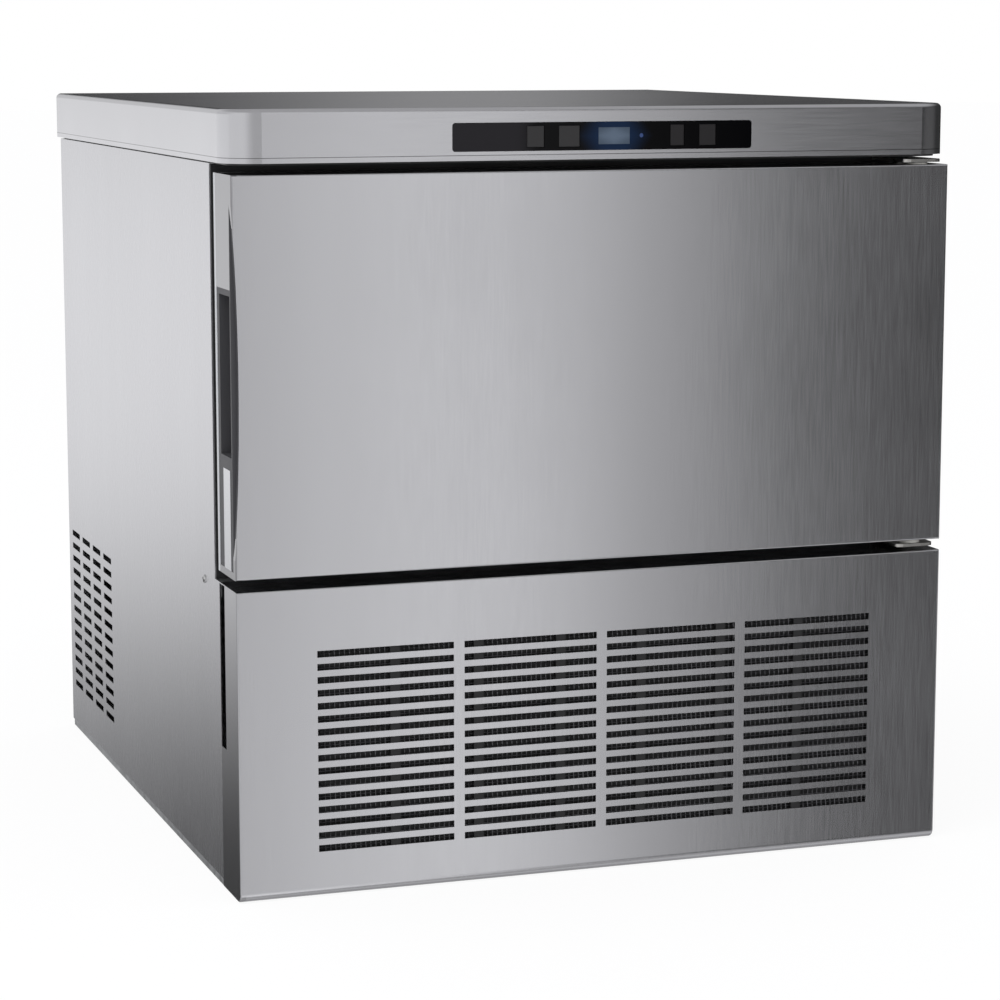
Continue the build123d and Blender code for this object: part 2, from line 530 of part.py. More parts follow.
# Compressor: welded steel dome with a seam, on a foot plate, with a terminal cover.
FOOT_LEVEL = 22.0
FOOT_THICK = 3.0
FOOT_HALF = 88.0
MOUNT_SPREAD = 150.0
MOUNT_RADIUS = 11.0
MOUNT_STUD_RADIUS = 5.8
MOUNT_STUD_RISE = 10.0
MOUNT_SIDES = 8
SHELL_FOOT_SLOPE = 14.0
SEAM_RISE = 88.0
SEAM_HEIGHT = 6.0
SEAM_PROUD = 5.0
TERMINAL_WIDTH = 68.0
TERMINAL_REACH = 18.0
TERMINAL_Z = (70.0, 108.0)
shell_bottom = FOOT_LEVEL + FOOT_THICK
dome_steps = ((0.0, 40.0), (8.0, 20.0), (22.0, 7.0), (42.0, 0.0))
with BuildPart() as compressor:
    with BuildSketch(Plane.XZ.offset(-COMPRESSOR_AT[1])):
        with BuildLine():
            Polyline(
                (COMPRESSOR_AT[0], shell_bottom),
                (COMPRESSOR_AT[0] + COMPRESSOR_RADIUS - SHELL_FOOT_SLOPE, shell_bottom),
                (COMPRESSOR_AT[0] + COMPRESSOR_RADIUS, shell_bottom + SHELL_FOOT_SLOPE),
                (COMPRESSOR_AT[0] + COMPRESSOR_RADIUS, shell_bottom + SEAM_RISE),
                (COMPRESSOR_AT[0] + COMPRESSOR_RADIUS + SEAM_PROUD, shell_bottom + SEAM_RISE),
                (COMPRESSOR_AT[0] + COMPRESSOR_RADIUS + SEAM_PROUD, shell_bottom + SEAM_RISE + SEAM_HEIGHT),
                (COMPRESSOR_AT[0] + COMPRESSOR_RADIUS, shell_bottom + SEAM_RISE + SEAM_HEIGHT),
                *[(COMPRESSOR_AT[0] + COMPRESSOR_RADIUS - step_in, COMPRESSOR_TOP - step_down)
                  for step_in, step_down in dome_steps],
                (COMPRESSOR_AT[0], COMPRESSOR_TOP), close=True)
        make_face()
    revolve(axis=Axis((COMPRESSOR_AT[0], COMPRESSOR_AT[1], 0), (0, 0, 1)))
    block((COMPRESSOR_AT[0] - FOOT_HALF, COMPRESSOR_AT[0] + FOOT_HALF),
          (COMPRESSOR_AT[1] - FOOT_HALF, COMPRESSOR_AT[1] + FOOT_HALF), (FOOT_LEVEL, shell_bottom))
    with BuildSketch(Plane.XY.offset(FOOT_LEVEL)):
        with Locations(COMPRESSOR_AT):
            with GridLocations(MOUNT_SPREAD, MOUNT_SPREAD, 2, 2):
                RegularPolygon(MOUNT_STUD_RADIUS + NECK_CLEARANCE, MOUNT_SIDES)
    extrude(amount=FOOT_THICK, mode=Mode.SUBTRACT)
    block((COMPRESSOR_AT[0] + COMPRESSOR_RADIUS / 2, COMPRESSOR_AT[0] + COMPRESSOR_RADIUS + TERMINAL_REACH),
          (COMPRESSOR_AT[1] - TERMINAL_WIDTH / 2, COMPRESSOR_AT[1] + TERMINAL_WIDTH / 2), TERMINAL_Z)
write("compressor", compressor)

# Compressor mounts: four rubber feet, waisted where the foot plate sits.
with BuildPart() as compressor_mounts:
    with BuildSketch(Plane.XY.offset(PAN_SHEET)):
        with Locations(COMPRESSOR_AT):
            with GridLocations(MOUNT_SPREAD, MOUNT_SPREAD, 2, 2):
                RegularPolygon(MOUNT_RADIUS, MOUNT_SIDES)
    extrude(amount=FOOT_LEVEL - PAN_SHEET)
    with BuildSketch(Plane.XY.offset(FOOT_LEVEL)):
        with Locations(COMPRESSOR_AT):
            with GridLocations(MOUNT_SPREAD, MOUNT_SPREAD, 2, 2):
                RegularPolygon(MOUNT_STUD_RADIUS, MOUNT_SIDES)
    extrude(amount=MOUNT_STUD_RISE)
write("compressor_mounts", compressor_mounts)


def pipe(points, bend, radius):
    """A pipe of many flats along straight runs joined by arcs."""
    with BuildPart() as run:
        with BuildLine() as route:
            FilletPolyline(*points, radius=bend)
        with BuildSketch(Plane(origin=route.line @ 0, z_dir=route.line % 0)):
            RegularPolygon(radius, PIPE_SIDES)
        sweep(path=route.line)
    return run


# Refrigerant pipes: hot gas to the condenser, liquid to the evaporator, cold gas back.
PIPE_BEND = 14.0
GAS_RISE = 32.0
COLD_RISE = 17.0
GAS_OUTLET_OFFSET = 36.0
COLD_INLET_OFFSET = 20.0
GAS_TURN_X = 60.0
OUTLET_TURN_X = 50.0
GAS_JOINT_DROP = 20.0
OUTLET_JOINT_RISE = 12.0
DRIER_OFFSET_X = 180.0
DRIER_OFFSET_Y = 150.0
DRIER_LEVEL = 40.0
DRIER_RADIUS = 13.0
DRIER_NECK_RADIUS = 7.0
DRIER_NECK = 10.0
DRIER_LENGTH = 100.0
DRIER_CLAMP_HALF = 16.0
DRIER_CLAMP_Y = (50.0, 64.0)
LIQUID_TURN = 58.8
OUTLET_RUN = 100.0
OUTLET_STEP = 40.0
duct_y = (BIN_BACK + LINER_WALL + rear_inner) / 2
liner_rear_face = BIN_BACK + LINER_WALL
gas_level = COMPRESSOR_TOP + GAS_RISE
cold_level = COMPRESSOR_TOP + COLD_RISE
gas_x = COMPRESSOR_AT[0] - GAS_OUTLET_OFFSET
cold_x = COMPRESSOR_AT[0] + COLD_INLET_OFFSET
cold_y = COMPRESSOR_AT[1] + COLD_INLET_OFFSET
discharge_line = pipe(
    [(gas_x, COMPRESSOR_AT[1], COMPRESSOR_TOP), (gas_x, COMPRESSOR_AT[1], gas_level),
     (bend_x + GAS_TURN_X, COMPRESSOR_AT[1], gas_level), (bend_x + GAS_TURN_X, bend_y, gas_level),
     (bend_x + GAS_TURN_X, bend_y, condenser_z[1] - GAS_JOINT_DROP),
     (bend_x, bend_y, condenser_z[1] - GAS_JOINT_DROP)], PIPE_BEND, THIN_PIPE_RADIUS)
write("discharge_line", discharge_line)
suction_line = pipe(
    [(MAKER_PIPE_X[1], liner_rear_face, MAKER_PIPE_Z), (MAKER_PIPE_X[1], duct_y, MAKER_PIPE_Z),
     (MAKER_PIPE_X[1], duct_y, cold_level), (cold_x, cold_y, cold_level),
     (cold_x, cold_y, COMPRESSOR_TOP)], PIPE_BEND, PIPE_RADIUS)
write("suction_line", suction_line)
drier_x = COMPRESSOR_AT[0] - DRIER_OFFSET_X
drier_front = COMPRESSOR_AT[1] - DRIER_OFFSET_Y
drier_rear = drier_front + DRIER_LENGTH + 3 * DRIER_NECK
liquid_line = pipe(
    [(drier_x, drier_rear, DRIER_LEVEL), (drier_x, rear_inner - LIQUID_TURN, DRIER_LEVEL),
     (MAKER_PIPE_X[0], duct_y, DRIER_LEVEL), (MAKER_PIPE_X[0], duct_y, MAKER_PIPE_Z),
     (MAKER_PIPE_X[0], liner_rear_face, MAKER_PIPE_Z)], PIPE_BEND, THIN_PIPE_RADIUS)
write("liquid_line", liquid_line)

# Filter drier: copper cylinder with necked ends and a pipe from the condenser's foot.
with BuildPart() as filter_drier:
    rod_y((drier_x, DRIER_LEVEL), DRIER_RADIUS, (drier_front + DRIER_NECK,
                                                 drier_front + DRIER_NECK + DRIER_LENGTH))
    rod_y((drier_x, DRIER_LEVEL), DRIER_NECK_RADIUS, (drier_front, drier_rear))
    block((drier_x - DRIER_CLAMP_HALF, drier_x + DRIER_CLAMP_HALF),
          (drier_front + DRIER_CLAMP_Y[0], drier_front + DRIER_CLAMP_Y[1]), (PAN_SHEET, DRIER_LEVEL))
write("filter_drier", filter_drier)
outlet_z = condenser_z[0] + OUTLET_JOINT_RISE
condenser_outlet = pipe(
    [(bend_x, bend_y, outlet_z), (bend_x + OUTLET_TURN_X, bend_y, outlet_z),
     (bend_x + OUTLET_TURN_X, drier_front - OUTLET_RUN - OUTLET_STEP, DRIER_LEVEL),
     (drier_x, drier_front - OUTLET_RUN, DRIER_LEVEL), (drier_x, drier_front, DRIER_LEVEL)],
    PIPE_BEND, THIN_PIPE_RADIUS)
write("condenser_outlet", condenser_outlet)

# Drain: a flanged bin outlet, a hose, and a spigot held in the rear panel by its nut.
DRAIN_BEND = 22.0
DRAIN_BORE = 9.0
DRAIN_TAIL = 20.0
DRAIN_FLANGE = 8.0
DRAIN_FLANGE_THICK = 2.0
SPIGOT_TAIL = 24.0
SPIGOT_FLANGE = 7.0
SPIGOT_FLANGE_THICK = 5.0
drain_foot = deck_bottom - DRAIN_TAIL
with BuildPart() as bin_drain:
    post((DRAIN_AT[0], DRAIN_HOLE_Y), BIN_DRAIN_RADIUS + DRAIN_FLANGE, (BIN_FLOOR,
                                                                        BIN_FLOOR + DRAIN_FLANGE_THICK))
    post((DRAIN_AT[0], DRAIN_HOLE_Y), BIN_DRAIN_RADIUS, (drain_foot, BIN_FLOOR))
    post((DRAIN_AT[0], DRAIN_HOLE_Y), DRAIN_BORE, (drain_foot, BIN_FLOOR + DRAIN_FLANGE_THICK),
         Mode.SUBTRACT)
write("bin_drain", bin_drain)
drain_hose = pipe(
    [(DRAIN_AT[0], DRAIN_HOLE_Y, drain_foot), (DRAIN_AT[0], DRAIN_HOLE_Y, DRAIN_AT[1]),
     (DRAIN_AT[0], rear_inner - SPIGOT_TAIL, DRAIN_AT[1])], DRAIN_BEND, HOSE_RADIUS)
write("drain_hose", drain_hose)
with BuildPart() as drain_spigot:
    rod_y(DRAIN_AT, DRAIN_RADIUS - SHEET, (rear_inner - SPIGOT_TAIL, rear_inner))
    rod_y(DRAIN_AT, DRAIN_RADIUS + SPIGOT_FLANGE, (rear_inner - SPIGOT_FLANGE_THICK, rear_inner))
    rod_y(DRAIN_AT, DRAIN_RADIUS + FITTING_CLEARANCE - NECK_CLEARANCE, (rear_inner, back))
    rod_y(DRAIN_AT, DRAIN_RADIUS + SPIGOT_FLANGE, (back, back + NUT_THICK))
    rod_y(DRAIN_AT, DRAIN_RADIUS, (back + NUT_THICK, DEPTH / 2))
    rod_y(DRAIN_AT, DRAIN_BORE, (rear_inner - SPIGOT_TAIL, DEPTH / 2), Mode.SUBTRACT)
write("drain_spigot", drain_spigot)

# Water inlet valve: body with a stub through the rear panel, its nut and a coil below.
VALVE_FLANGE = 6.0
VALVE_NECK = 10.0
VALVE_HALF_WIDTH = 18.0
VALVE_HALF_HEIGHT = 16.0
VALVE_LENGTH = 36.0
VALVE_COIL_RADIUS = 15.0
VALVE_COIL_LENGTH = 36.0
INLET_BORE = 9.0
valve_y = (rear_inner - VALVE_NECK - VALVE_LENGTH, rear_inner - VALVE_NECK)
valve_centre_y = (valve_y[0] + valve_y[1]) / 2
with BuildPart() as water_inlet_valve:
    rod_y(INLET_AT, INLET_RADIUS + VALVE_FLANGE, (rear_inner - VALVE_NECK, rear_inner))
    rod_y(INLET_AT, INLET_RADIUS + FITTING_CLEARANCE - NECK_CLEARANCE, (rear_inner, back))
    rod_y(INLET_AT, INLET_RADIUS + VALVE_FLANGE, (back, back + NUT_THICK))
    rod_y(INLET_AT, INLET_RADIUS, (back + NUT_THICK, DEPTH / 2))
    block((INLET_AT[0] - VALVE_HALF_WIDTH, INLET_AT[0] + VALVE_HALF_WIDTH), valve_y,
          (INLET_AT[1] - VALVE_HALF_HEIGHT, INLET_AT[1] + VALVE_HALF_HEIGHT))
    post((INLET_AT[0], valve_centre_y), VALVE_COIL_RADIUS,
         (INLET_AT[1] - VALVE_HALF_HEIGHT - VALVE_COIL_LENGTH, INLET_AT[1] - VALVE_HALF_HEIGHT))
    rod_y(INLET_AT, INLET_BORE, (rear_inner, DEPTH / 2), Mode.SUBTRACT)
write("water_inlet_valve", water_inlet_valve)

# Supply hose: from the valve up the duct and over the liner's back into the ice maker.
SUPPLY_RISE = 50.0
SUPPLY_BEND = 12.0
WATER_X = half - 134.0
WATER_Z = PLATE_LEVEL - 46.0
supply_hose = pipe(
    [(INLET_AT[0], valve_centre_y, INLET_AT[1] + VALVE_HALF_HEIGHT),
     (INLET_AT[0], valve_centre_y, INLET_AT[1] + SUPPLY_RISE), (WATER_X, valve_centre_y,
                                                                INLET_AT[1] + SUPPLY_RISE),
     (WATER_X, valve_centre_y, WATER_Z), (WATER_X, liner_rear_face, WATER_Z)], SUPPLY_BEND, PIPE_RADIUS)
write("supply_hose", supply_hose)

# Junction box in the rear corner, with the cable gland beside it.
JUNCTION_HALF_WIDTH = 45.0
JUNCTION_HALF_HEIGHT = 60.0
JUNCTION_DEPTH = 60.0
JUNCTION_EDGE = 6.0
GLAND_POCKET = 30.0
GLAND_POCKET_RADIUS = 12.0
GLAND_NUT_RADIUS = 13.0
GLAND_NUT_THICK = 6.0
GLAND_CAP_RADIUS = 9.5
GLAND_REACH = 16.0
GLAND_TAIL = 12.0
with BuildPart() as junction_box:
    block((GLAND_AT[0] - JUNCTION_HALF_WIDTH, GLAND_AT[0] + JUNCTION_HALF_WIDTH),
          (rear_inner - JUNCTION_DEPTH, rear_inner),
          (GLAND_AT[1] - JUNCTION_HALF_HEIGHT, GLAND_AT[1] + JUNCTION_HALF_HEIGHT))
    chamfer(junction_box.edges().filter_by(Axis.Y), JUNCTION_EDGE)
    rod_y(GLAND_AT, GLAND_POCKET_RADIUS, (rear_inner - GLAND_POCKET, rear_inner), Mode.SUBTRACT)
write("junction_box", junction_box)
with BuildPart() as cable_gland:
    with BuildSketch(Plane.XZ.offset(-back)):
        with Locations(GLAND_AT):
            RegularPolygon(GLAND_NUT_RADIUS, 6)
    extrude(amount=-GLAND_NUT_THICK)
    rod_y(GLAND_AT, GLAND_CAP_RADIUS, (back + GLAND_NUT_THICK, back + GLAND_REACH))
    rod_y(GLAND_AT, GLAND_NECK, (rear_inner - GLAND_TAIL, back))
    rod_y(GLAND_AT, GLAND_BORE, (rear_inner - GLAND_TAIL, back + GLAND_REACH), Mode.SUBTRACT)
write("cable_gland", cable_gland)

# Ice maker housing: a top, two sides and a back, open below and in front.
EAR_REACH = 16.0
EAR_HALF = 9.0
with BuildPart() as ice_chamber:
    block((MAKER_LEFT, MAKER_RIGHT), (MAKER_FRONT, MAKER_BACK), (TANK_RIM + MAKER_WALL, BIN_CEILING))
    block((MAKER_LEFT + MAKER_WALL, MAKER_RIGHT - MAKER_WALL), (MAKER_FRONT, MAKER_BACK - MAKER_WALL),
          (TANK_RIM + MAKER_WALL, BIN_CEILING - MAKER_WALL), Mode.SUBTRACT)
    for wall_x in ((MAKER_LEFT, MAKER_LEFT + MAKER_WALL), (MAKER_RIGHT - MAKER_WALL, MAKER_RIGHT)):
        block(wall_x, (MAKER_FRONT - EAR_REACH, MAKER_FRONT),
              (CURTAIN_PIVOT[1] - EAR_HALF, CURTAIN_PIVOT[1] + EAR_HALF))
    rod_x(CURTAIN_PIVOT, CURTAIN_PIN + PIN_CLEARANCE, (MAKER_LEFT, MAKER_RIGHT), Mode.SUBTRACT)
    for x in MAKER_PIPE_X:
        rod_y((x, MAKER_PIPE_Z), PIPE_RADIUS + PIPE_HOLE_GAP, (MAKER_BACK - MAKER_WALL, MAKER_BACK),
              Mode.SUBTRACT)
write("ice_chamber", ice_chamber)

# Evaporator: a plate of square cups that open downwards, where the cubes freeze.
maker_centre = ((MAKER_LEFT + MAKER_RIGHT) / 2, (MAKER_FRONT + MAKER_BACK) / 2)
CUP_TAPER = 8.0
CUP_WALL = 2.0
PLATE_INSET = 4.0
with BuildPart() as evaporator:
    block((MAKER_LEFT + MAKER_WALL, MAKER_RIGHT - MAKER_WALL), (MAKER_FRONT + PLATE_INSET,
                                                                MAKER_BACK - MAKER_WALL),
          (PLATE_LEVEL, PLATE_LEVEL + PLATE_THICK))
    with BuildSketch(Plane.XY.offset(PLATE_LEVEL + PLATE_THICK)):
        with Locations(maker_centre):
            with GridLocations(CUP_PITCH_X, CUP_PITCH_Y, CUP_COLUMNS, CUP_ROWS):
                Rectangle(CUP_SIZE, CUP_SIZE)
    extrude(amount=CUP_DEPTH, taper=CUP_TAPER)
    with BuildSketch(Plane.XY.offset(PLATE_LEVEL)):
        with Locations(maker_centre):
            with GridLocations(CUP_PITCH_X, CUP_PITCH_Y, CUP_COLUMNS, CUP_ROWS):
                Rectangle(CUP_SIZE - 2 * CUP_WALL, CUP_SIZE - 2 * CUP_WALL)
    extrude(amount=CUP_DEPTH, taper=CUP_TAPER, mode=Mode.SUBTRACT)
write("evaporator", evaporator)

# Evaporator coil: one pipe that passes over every row of cups.
COIL_BEND = 20.0
COIL_INSET = 40.0
coil_left = MAKER_LEFT + COIL_INSET
coil_rows = [maker_centre[1] + (row - (CUP_ROWS - 1) / 2) * CUP_PITCH_Y for row in range(CUP_ROWS)]
evaporator_coil = pipe(
    [(MAKER_PIPE_X[0], liner_rear_face, MAKER_PIPE_Z), (MAKER_PIPE_X[0], coil_rows[3], MAKER_PIPE_Z),
     (coil_left, coil_rows[3], MAKER_PIPE_Z), (coil_left, coil_rows[2], MAKER_PIPE_Z),
     (MAKER_PIPE_X[0], coil_rows[2], MAKER_PIPE_Z), (MAKER_PIPE_X[0], coil_rows[1], MAKER_PIPE_Z),
     (coil_left, coil_rows[1], MAKER_PIPE_Z), (coil_left, coil_rows[0], MAKER_PIPE_Z),
     (MAKER_PIPE_X[1], coil_rows[0], MAKER_PIPE_Z), (MAKER_PIPE_X[1], liner_rear_face, MAKER_PIPE_Z)],
    COIL_BEND, PIPE_RADIUS)
write("evaporator_coil", evaporator_coil)

# Spray manifold: a rail with a branch and nozzles under each column of cups.
RAIL_HALF = 7.0
BRANCH_HALF = 5.0
BRANCH_END = 10.0
NOZZLE_RADIUS = 4.5
NOZZLE_SIDES = 6
NOZZLE_HEIGHT = 12.0
NOZZLE_TAPER = 10.0
with BuildPart() as spray_manifold:
    block((MAKER_LEFT + MAKER_WALL, MAKER_RIGHT - MAKER_WALL),
          (maker_centre[1] - RAIL_HALF, maker_centre[1] + RAIL_HALF),
          (SPRAY_LEVEL - RAIL_HALF, SPRAY_LEVEL + RAIL_HALF))
    with Locations((*maker_centre, SPRAY_LEVEL)):
        with GridLocations(CUP_PITCH_X, 0, CUP_COLUMNS, 1):
            Box(2 * BRANCH_HALF, (CUP_ROWS - 1) * CUP_PITCH_Y + 2 * BRANCH_END, 2 * BRANCH_HALF)
    with BuildSketch(Plane.XY.offset(SPRAY_LEVEL + BRANCH_HALF)):
        with Locations(maker_centre):
            with GridLocations(CUP_PITCH_X, CUP_PITCH_Y, CUP_COLUMNS, CUP_ROWS):
                RegularPolygon(NOZZLE_RADIUS, NOZZLE_SIDES)
    extrude(amount=NOZZLE_HEIGHT, taper=NOZZLE_TAPER)
write("spray_manifold", spray_manifold)

# Ice slide: sloping bars between the nozzles, which carry the cubes to the front.
SLIDE_LOW = PLATE_LEVEL - 66.0
SLIDE_HIGH = PLATE_LEVEL - 16.0
SLIDE_THICK = 8.0
SLIDE_INSET = 6.0
SLIDE_BAR = 18.0
SLIDE_CROSS_HALF = 4.0
SLIDE_CROSS_HEIGHT = 5.0
SLIDE_CROSS_INSET = 20.0
slide_y = (MAKER_FRONT + SLIDE_INSET, MAKER_BACK - MAKER_WALL)
bar_x = [maker_centre[0] + (index - CUP_COLUMNS / 2) * CUP_PITCH_X for index in range(CUP_COLUMNS + 1)]
with BuildPart() as ice_slide:
    for x in bar_x:
        with BuildSketch(Plane.YZ.offset(x - SLIDE_BAR / 2)):
            with BuildLine():
                Polyline((slide_y[0], SLIDE_LOW), (slide_y[1], SLIDE_HIGH),
                         (slide_y[1], SLIDE_HIGH + SLIDE_THICK), (slide_y[0], SLIDE_LOW + SLIDE_THICK),
                         close=True)
            make_face()
        extrude(amount=SLIDE_BAR)
    for y in (slide_y[0] + SLIDE_CROSS_INSET, slide_y[1] - SLIDE_CROSS_INSET):
        level = SLIDE_LOW + (y - slide_y[0]) / (slide_y[1] - slide_y[0]) * (SLIDE_HIGH - SLIDE_LOW)
        block((MAKER_LEFT + MAKER_WALL, MAKER_RIGHT - MAKER_WALL), (y - SLIDE_CROSS_HALF,
                                                                    y + SLIDE_CROSS_HALF),
              (level, level + SLIDE_CROSS_HEIGHT))
write("ice_slide", ice_slide)

# Water tank: a trough hung by its rim on the liner's ledges.
TANK_RIM_HALF = BIN_HALF_WIDTH - 8.0
TANK_WALL = 3.0
TANK_BEND = 14.0
with BuildPart() as water_tank:
    block((-TANK_HALF_WIDTH, TANK_HALF_WIDTH), (MAKER_FRONT, MAKER_BACK), (TANK_BOTTOM,
                                                                           TANK_RIM + TANK_WALL))
    fillet(water_tank.edges().group_by(Axis.Z)[0].filter_by(Axis.X), TANK_BEND)
    block((-TANK_RIM_HALF, TANK_RIM_HALF), (MAKER_FRONT, BIN_BACK - BIN_CORNER),
          (TANK_RIM, TANK_RIM + TANK_WALL))
    block((-TANK_HALF_WIDTH + TANK_WALL, TANK_HALF_WIDTH - TANK_WALL),
          (MAKER_FRONT + TANK_WALL, MAKER_BACK - TANK_WALL),
          (TANK_BOTTOM + TANK_WALL, TANK_RIM + TANK_WALL), Mode.SUBTRACT)
write("water_tank", water_tank)

# Water pump: motor above, long neck, and impeller case in the tank.
PUMP_OFFSET_X = 37.0
PUMP_CASE_RADIUS = 26.0
PUMP_CASE_HEIGHT = 24.0
PUMP_NECK_RADIUS = 9.0
PUMP_MOTOR_RADIUS = 30.0
PUMP_MOTOR_RISE = 32.0
PUMP_MOTOR_HEIGHT = 52.0
PUMP_MOTOR_EDGE = 6.0
PUMP_BRACKET_HALF = 16.0
PUMP_BRACKET_THICK = 3.0
PUMP_OUTLET_RISE = 16.0
PUMP_HOSE_RUN = 60.0
PUMP_HOSE_BEND = 12.0
PUMP_AT = (MAKER_RIGHT + PUMP_OFFSET_X, maker_centre[1])
pump_foot = TANK_BOTTOM + TANK_WALL
pump_motor_z = (SPRAY_LEVEL + PUMP_MOTOR_RISE, SPRAY_LEVEL + PUMP_MOTOR_RISE + PUMP_MOTOR_HEIGHT)
pump_bracket_y = (PUMP_AT[1] - PUMP_BRACKET_HALF, PUMP_AT[1] + PUMP_BRACKET_HALF)
with BuildPart() as water_pump:
    post(PUMP_AT, PUMP_CASE_RADIUS, (pump_foot, pump_foot + PUMP_CASE_HEIGHT))
    post(PUMP_AT, PUMP_NECK_RADIUS, (pump_foot, pump_motor_z[0]))
    post(PUMP_AT, PUMP_MOTOR_RADIUS, pump_motor_z)
    chamfer(water_pump.edges().group_by(Axis.Z)[-1], PUMP_MOTOR_EDGE)
    block((MAKER_RIGHT, PUMP_AT[0]), pump_bracket_y, (pump_motor_z[0] - PUMP_BRACKET_THICK,
                                                      pump_motor_z[0]))
    block((MAKER_RIGHT, MAKER_RIGHT + PUMP_BRACKET_THICK), pump_bracket_y,
          (pump_motor_z[0] - PUMP_BRACKET_HALF, pump_motor_z[0]))
write("water_pump", water_pump)
pump_hose_y = PUMP_AT[1] - PUMP_HOSE_RUN
pump_outlet_z = TANK_BOTTOM + PUMP_OUTLET_RISE
pump_hose = pipe(
    [(PUMP_AT[0], PUMP_AT[1] - PUMP_CASE_RADIUS, pump_outlet_z), (PUMP_AT[0], pump_hose_y, pump_outlet_z),
     (PUMP_AT[0], pump_hose_y, SPRAY_LEVEL), (MAKER_RIGHT, pump_hose_y, SPRAY_LEVEL)],
    PUMP_HOSE_BEND, PIPE_RADIUS)
write("pump_hose", pump_hose)

# Ice curtain: a hanging flap with a notched foot that swings out as cubes fall.
CURTAIN_GAP = 3.0
CURTAIN_THICK = 2.5
NOTCHES = 5
NOTCH_WIDTH = 3.0
NOTCH_LENGTH = 60.0
curtain_x = (MAKER_LEFT + MAKER_WALL + CURTAIN_GAP, MAKER_RIGHT - MAKER_WALL - CURTAIN_GAP)
with BuildPart() as ice_curtain:
    block(curtain_x, (CURTAIN_PIVOT[0] - CURTAIN_THICK / 2, CURTAIN_PIVOT[0] + CURTAIN_THICK / 2),
          (CURTAIN_PIVOT[1] - CURTAIN_LENGTH, CURTAIN_PIVOT[1]))
    with Locations(((curtain_x[0] + curtain_x[1]) / 2, CURTAIN_PIVOT[0],
                    CURTAIN_PIVOT[1] - CURTAIN_LENGTH + NOTCH_LENGTH / 2)):
        with GridLocations((curtain_x[1] - curtain_x[0]) / (NOTCHES + 1), 0, NOTCHES, 1):
            Box(NOTCH_WIDTH, 2 * CURTAIN_THICK, NOTCH_LENGTH, mode=Mode.SUBTRACT)
    rod_x(CURTAIN_PIVOT, CURTAIN_PIN, (MAKER_LEFT - CURTAIN_PIN, MAKER_RIGHT + CURTAIN_PIN))
write("ice_curtain", ice_curtain)

# Door skin: a folded sheet pan with a scooped left edge where the hand goes in.
DOOR_SHEET = 1.2
DOOR_FLANGE = DOOR_THICK - DOOR_LINER_THICK
DOOR_EDGE = 2.0
GRIP_LIP = 9.0
GRIP_RECESS = 8.0
GRIP_BOTTOM = DOOR_BOTTOM + 7.0
GRIP_TOP = DOOR_TOP - 106.0
POCKET_BOTTOM = GRIP_TOP - 157.0
POCKET_TOP = GRIP_TOP - 6.0
SCOOP_DEPTH = 5.0
SCOOP_TOP = DOOR_TOP - 28.0
SCOOP_BOTTOM = DOOR_BOTTOM + 19.0
door_flange_rear = front + DOOR_FLANGE
grip_y = (front + GRIP_LIP, door_flange_rear)


def scoop():
    """Cuts the long shallow hollow from the front corner of the door's left edge."""
    with BuildSketch(Plane.XZ.offset(-front)) as outline:
        with BuildLine():
            ThreePointArc((-half, SCOOP_TOP), (-half + SCOOP_DEPTH, (SCOOP_TOP + SCOOP_BOTTOM) / 2),
                          (-half, SCOOP_BOTTOM))
            Line((-half, SCOOP_BOTTOM), (-half, SCOOP_TOP))
        make_face()
    extrude(outline.sketch, amount=-GRIP_LIP, dir=(0, -1, 0), mode=Mode.SUBTRACT)


with BuildPart() as door_skin:
    block((-half, half), (front, door_flange_rear), (DOOR_BOTTOM, DOOR_TOP))
    fillet(door_skin.edges().group_by(Axis.Y)[0], DOOR_EDGE)
    block((-half + DOOR_SHEET, half - DOOR_SHEET), (front + DOOR_SHEET, door_flange_rear),
          (DOOR_BOTTOM + DOOR_SHEET, DOOR_TOP - DOOR_SHEET), Mode.SUBTRACT)
    block((-half, -half + GRIP_RECESS), grip_y, (GRIP_BOTTOM, GRIP_TOP), Mode.SUBTRACT)
    scoop()
    for level in ((DOOR_BOTTOM, DOOR_BOTTOM + DOOR_SHEET), (DOOR_TOP - DOOR_SHEET, DOOR_TOP)):
        post((hinge_x, hinge_y), BUSH_RADIUS, level, Mode.SUBTRACT)
write("door_skin", door_skin)

# Grip housing: the dark moulding let into the left edge, with the finger pocket.
HOUSING_DEPTH_X = 36.0
HOUSING_SET_IN = 0.6
POCKET_DEPTH_X = 26.0
POCKET_FRONT = 13.0
POCKET_REAR = 52.0
POCKET_LIP = 12.0
POCKET_LIP_Z = 6.0
UNDERCUT = 8.0
TRIM_THICK = 1.4
TRIM_FRONT = 17.0
TRIM_REAR = 42.0
TRIM_GAP = 12.0
trim_box = ((-half, -half + TRIM_THICK), (front + TRIM_FRONT, front + TRIM_REAR),
            (GRIP_BOTTOM, POCKET_BOTTOM - TRIM_GAP))
with BuildPart() as door_grip_housing:
    block((-half + HOUSING_SET_IN, -half + HOUSING_DEPTH_X), grip_y, (GRIP_BOTTOM, GRIP_TOP))
    block((-half + GRIP_RECESS, -half + HOUSING_DEPTH_X), (front + DOOR_SHEET, grip_y[1]),
          (GRIP_BOTTOM, GRIP_TOP))
    block((-half, -half + POCKET_DEPTH_X), (front + POCKET_FRONT, front + POCKET_REAR),
          (POCKET_BOTTOM, POCKET_TOP), Mode.SUBTRACT)
    block((-half + POCKET_LIP, -half + POCKET_DEPTH_X), (front + POCKET_FRONT - UNDERCUT,
                                                         front + POCKET_REAR),
          (POCKET_BOTTOM + POCKET_LIP_Z, POCKET_TOP - POCKET_LIP_Z), Mode.SUBTRACT)
    block(*trim_box, Mode.SUBTRACT)
write("door_grip_housing", door_grip_housing)

# Grip trim: a bright strip let into the lower part of the housing.
with BuildPart() as door_grip_trim:
    block(*trim_box)
write("door_grip_trim", door_grip_trim)

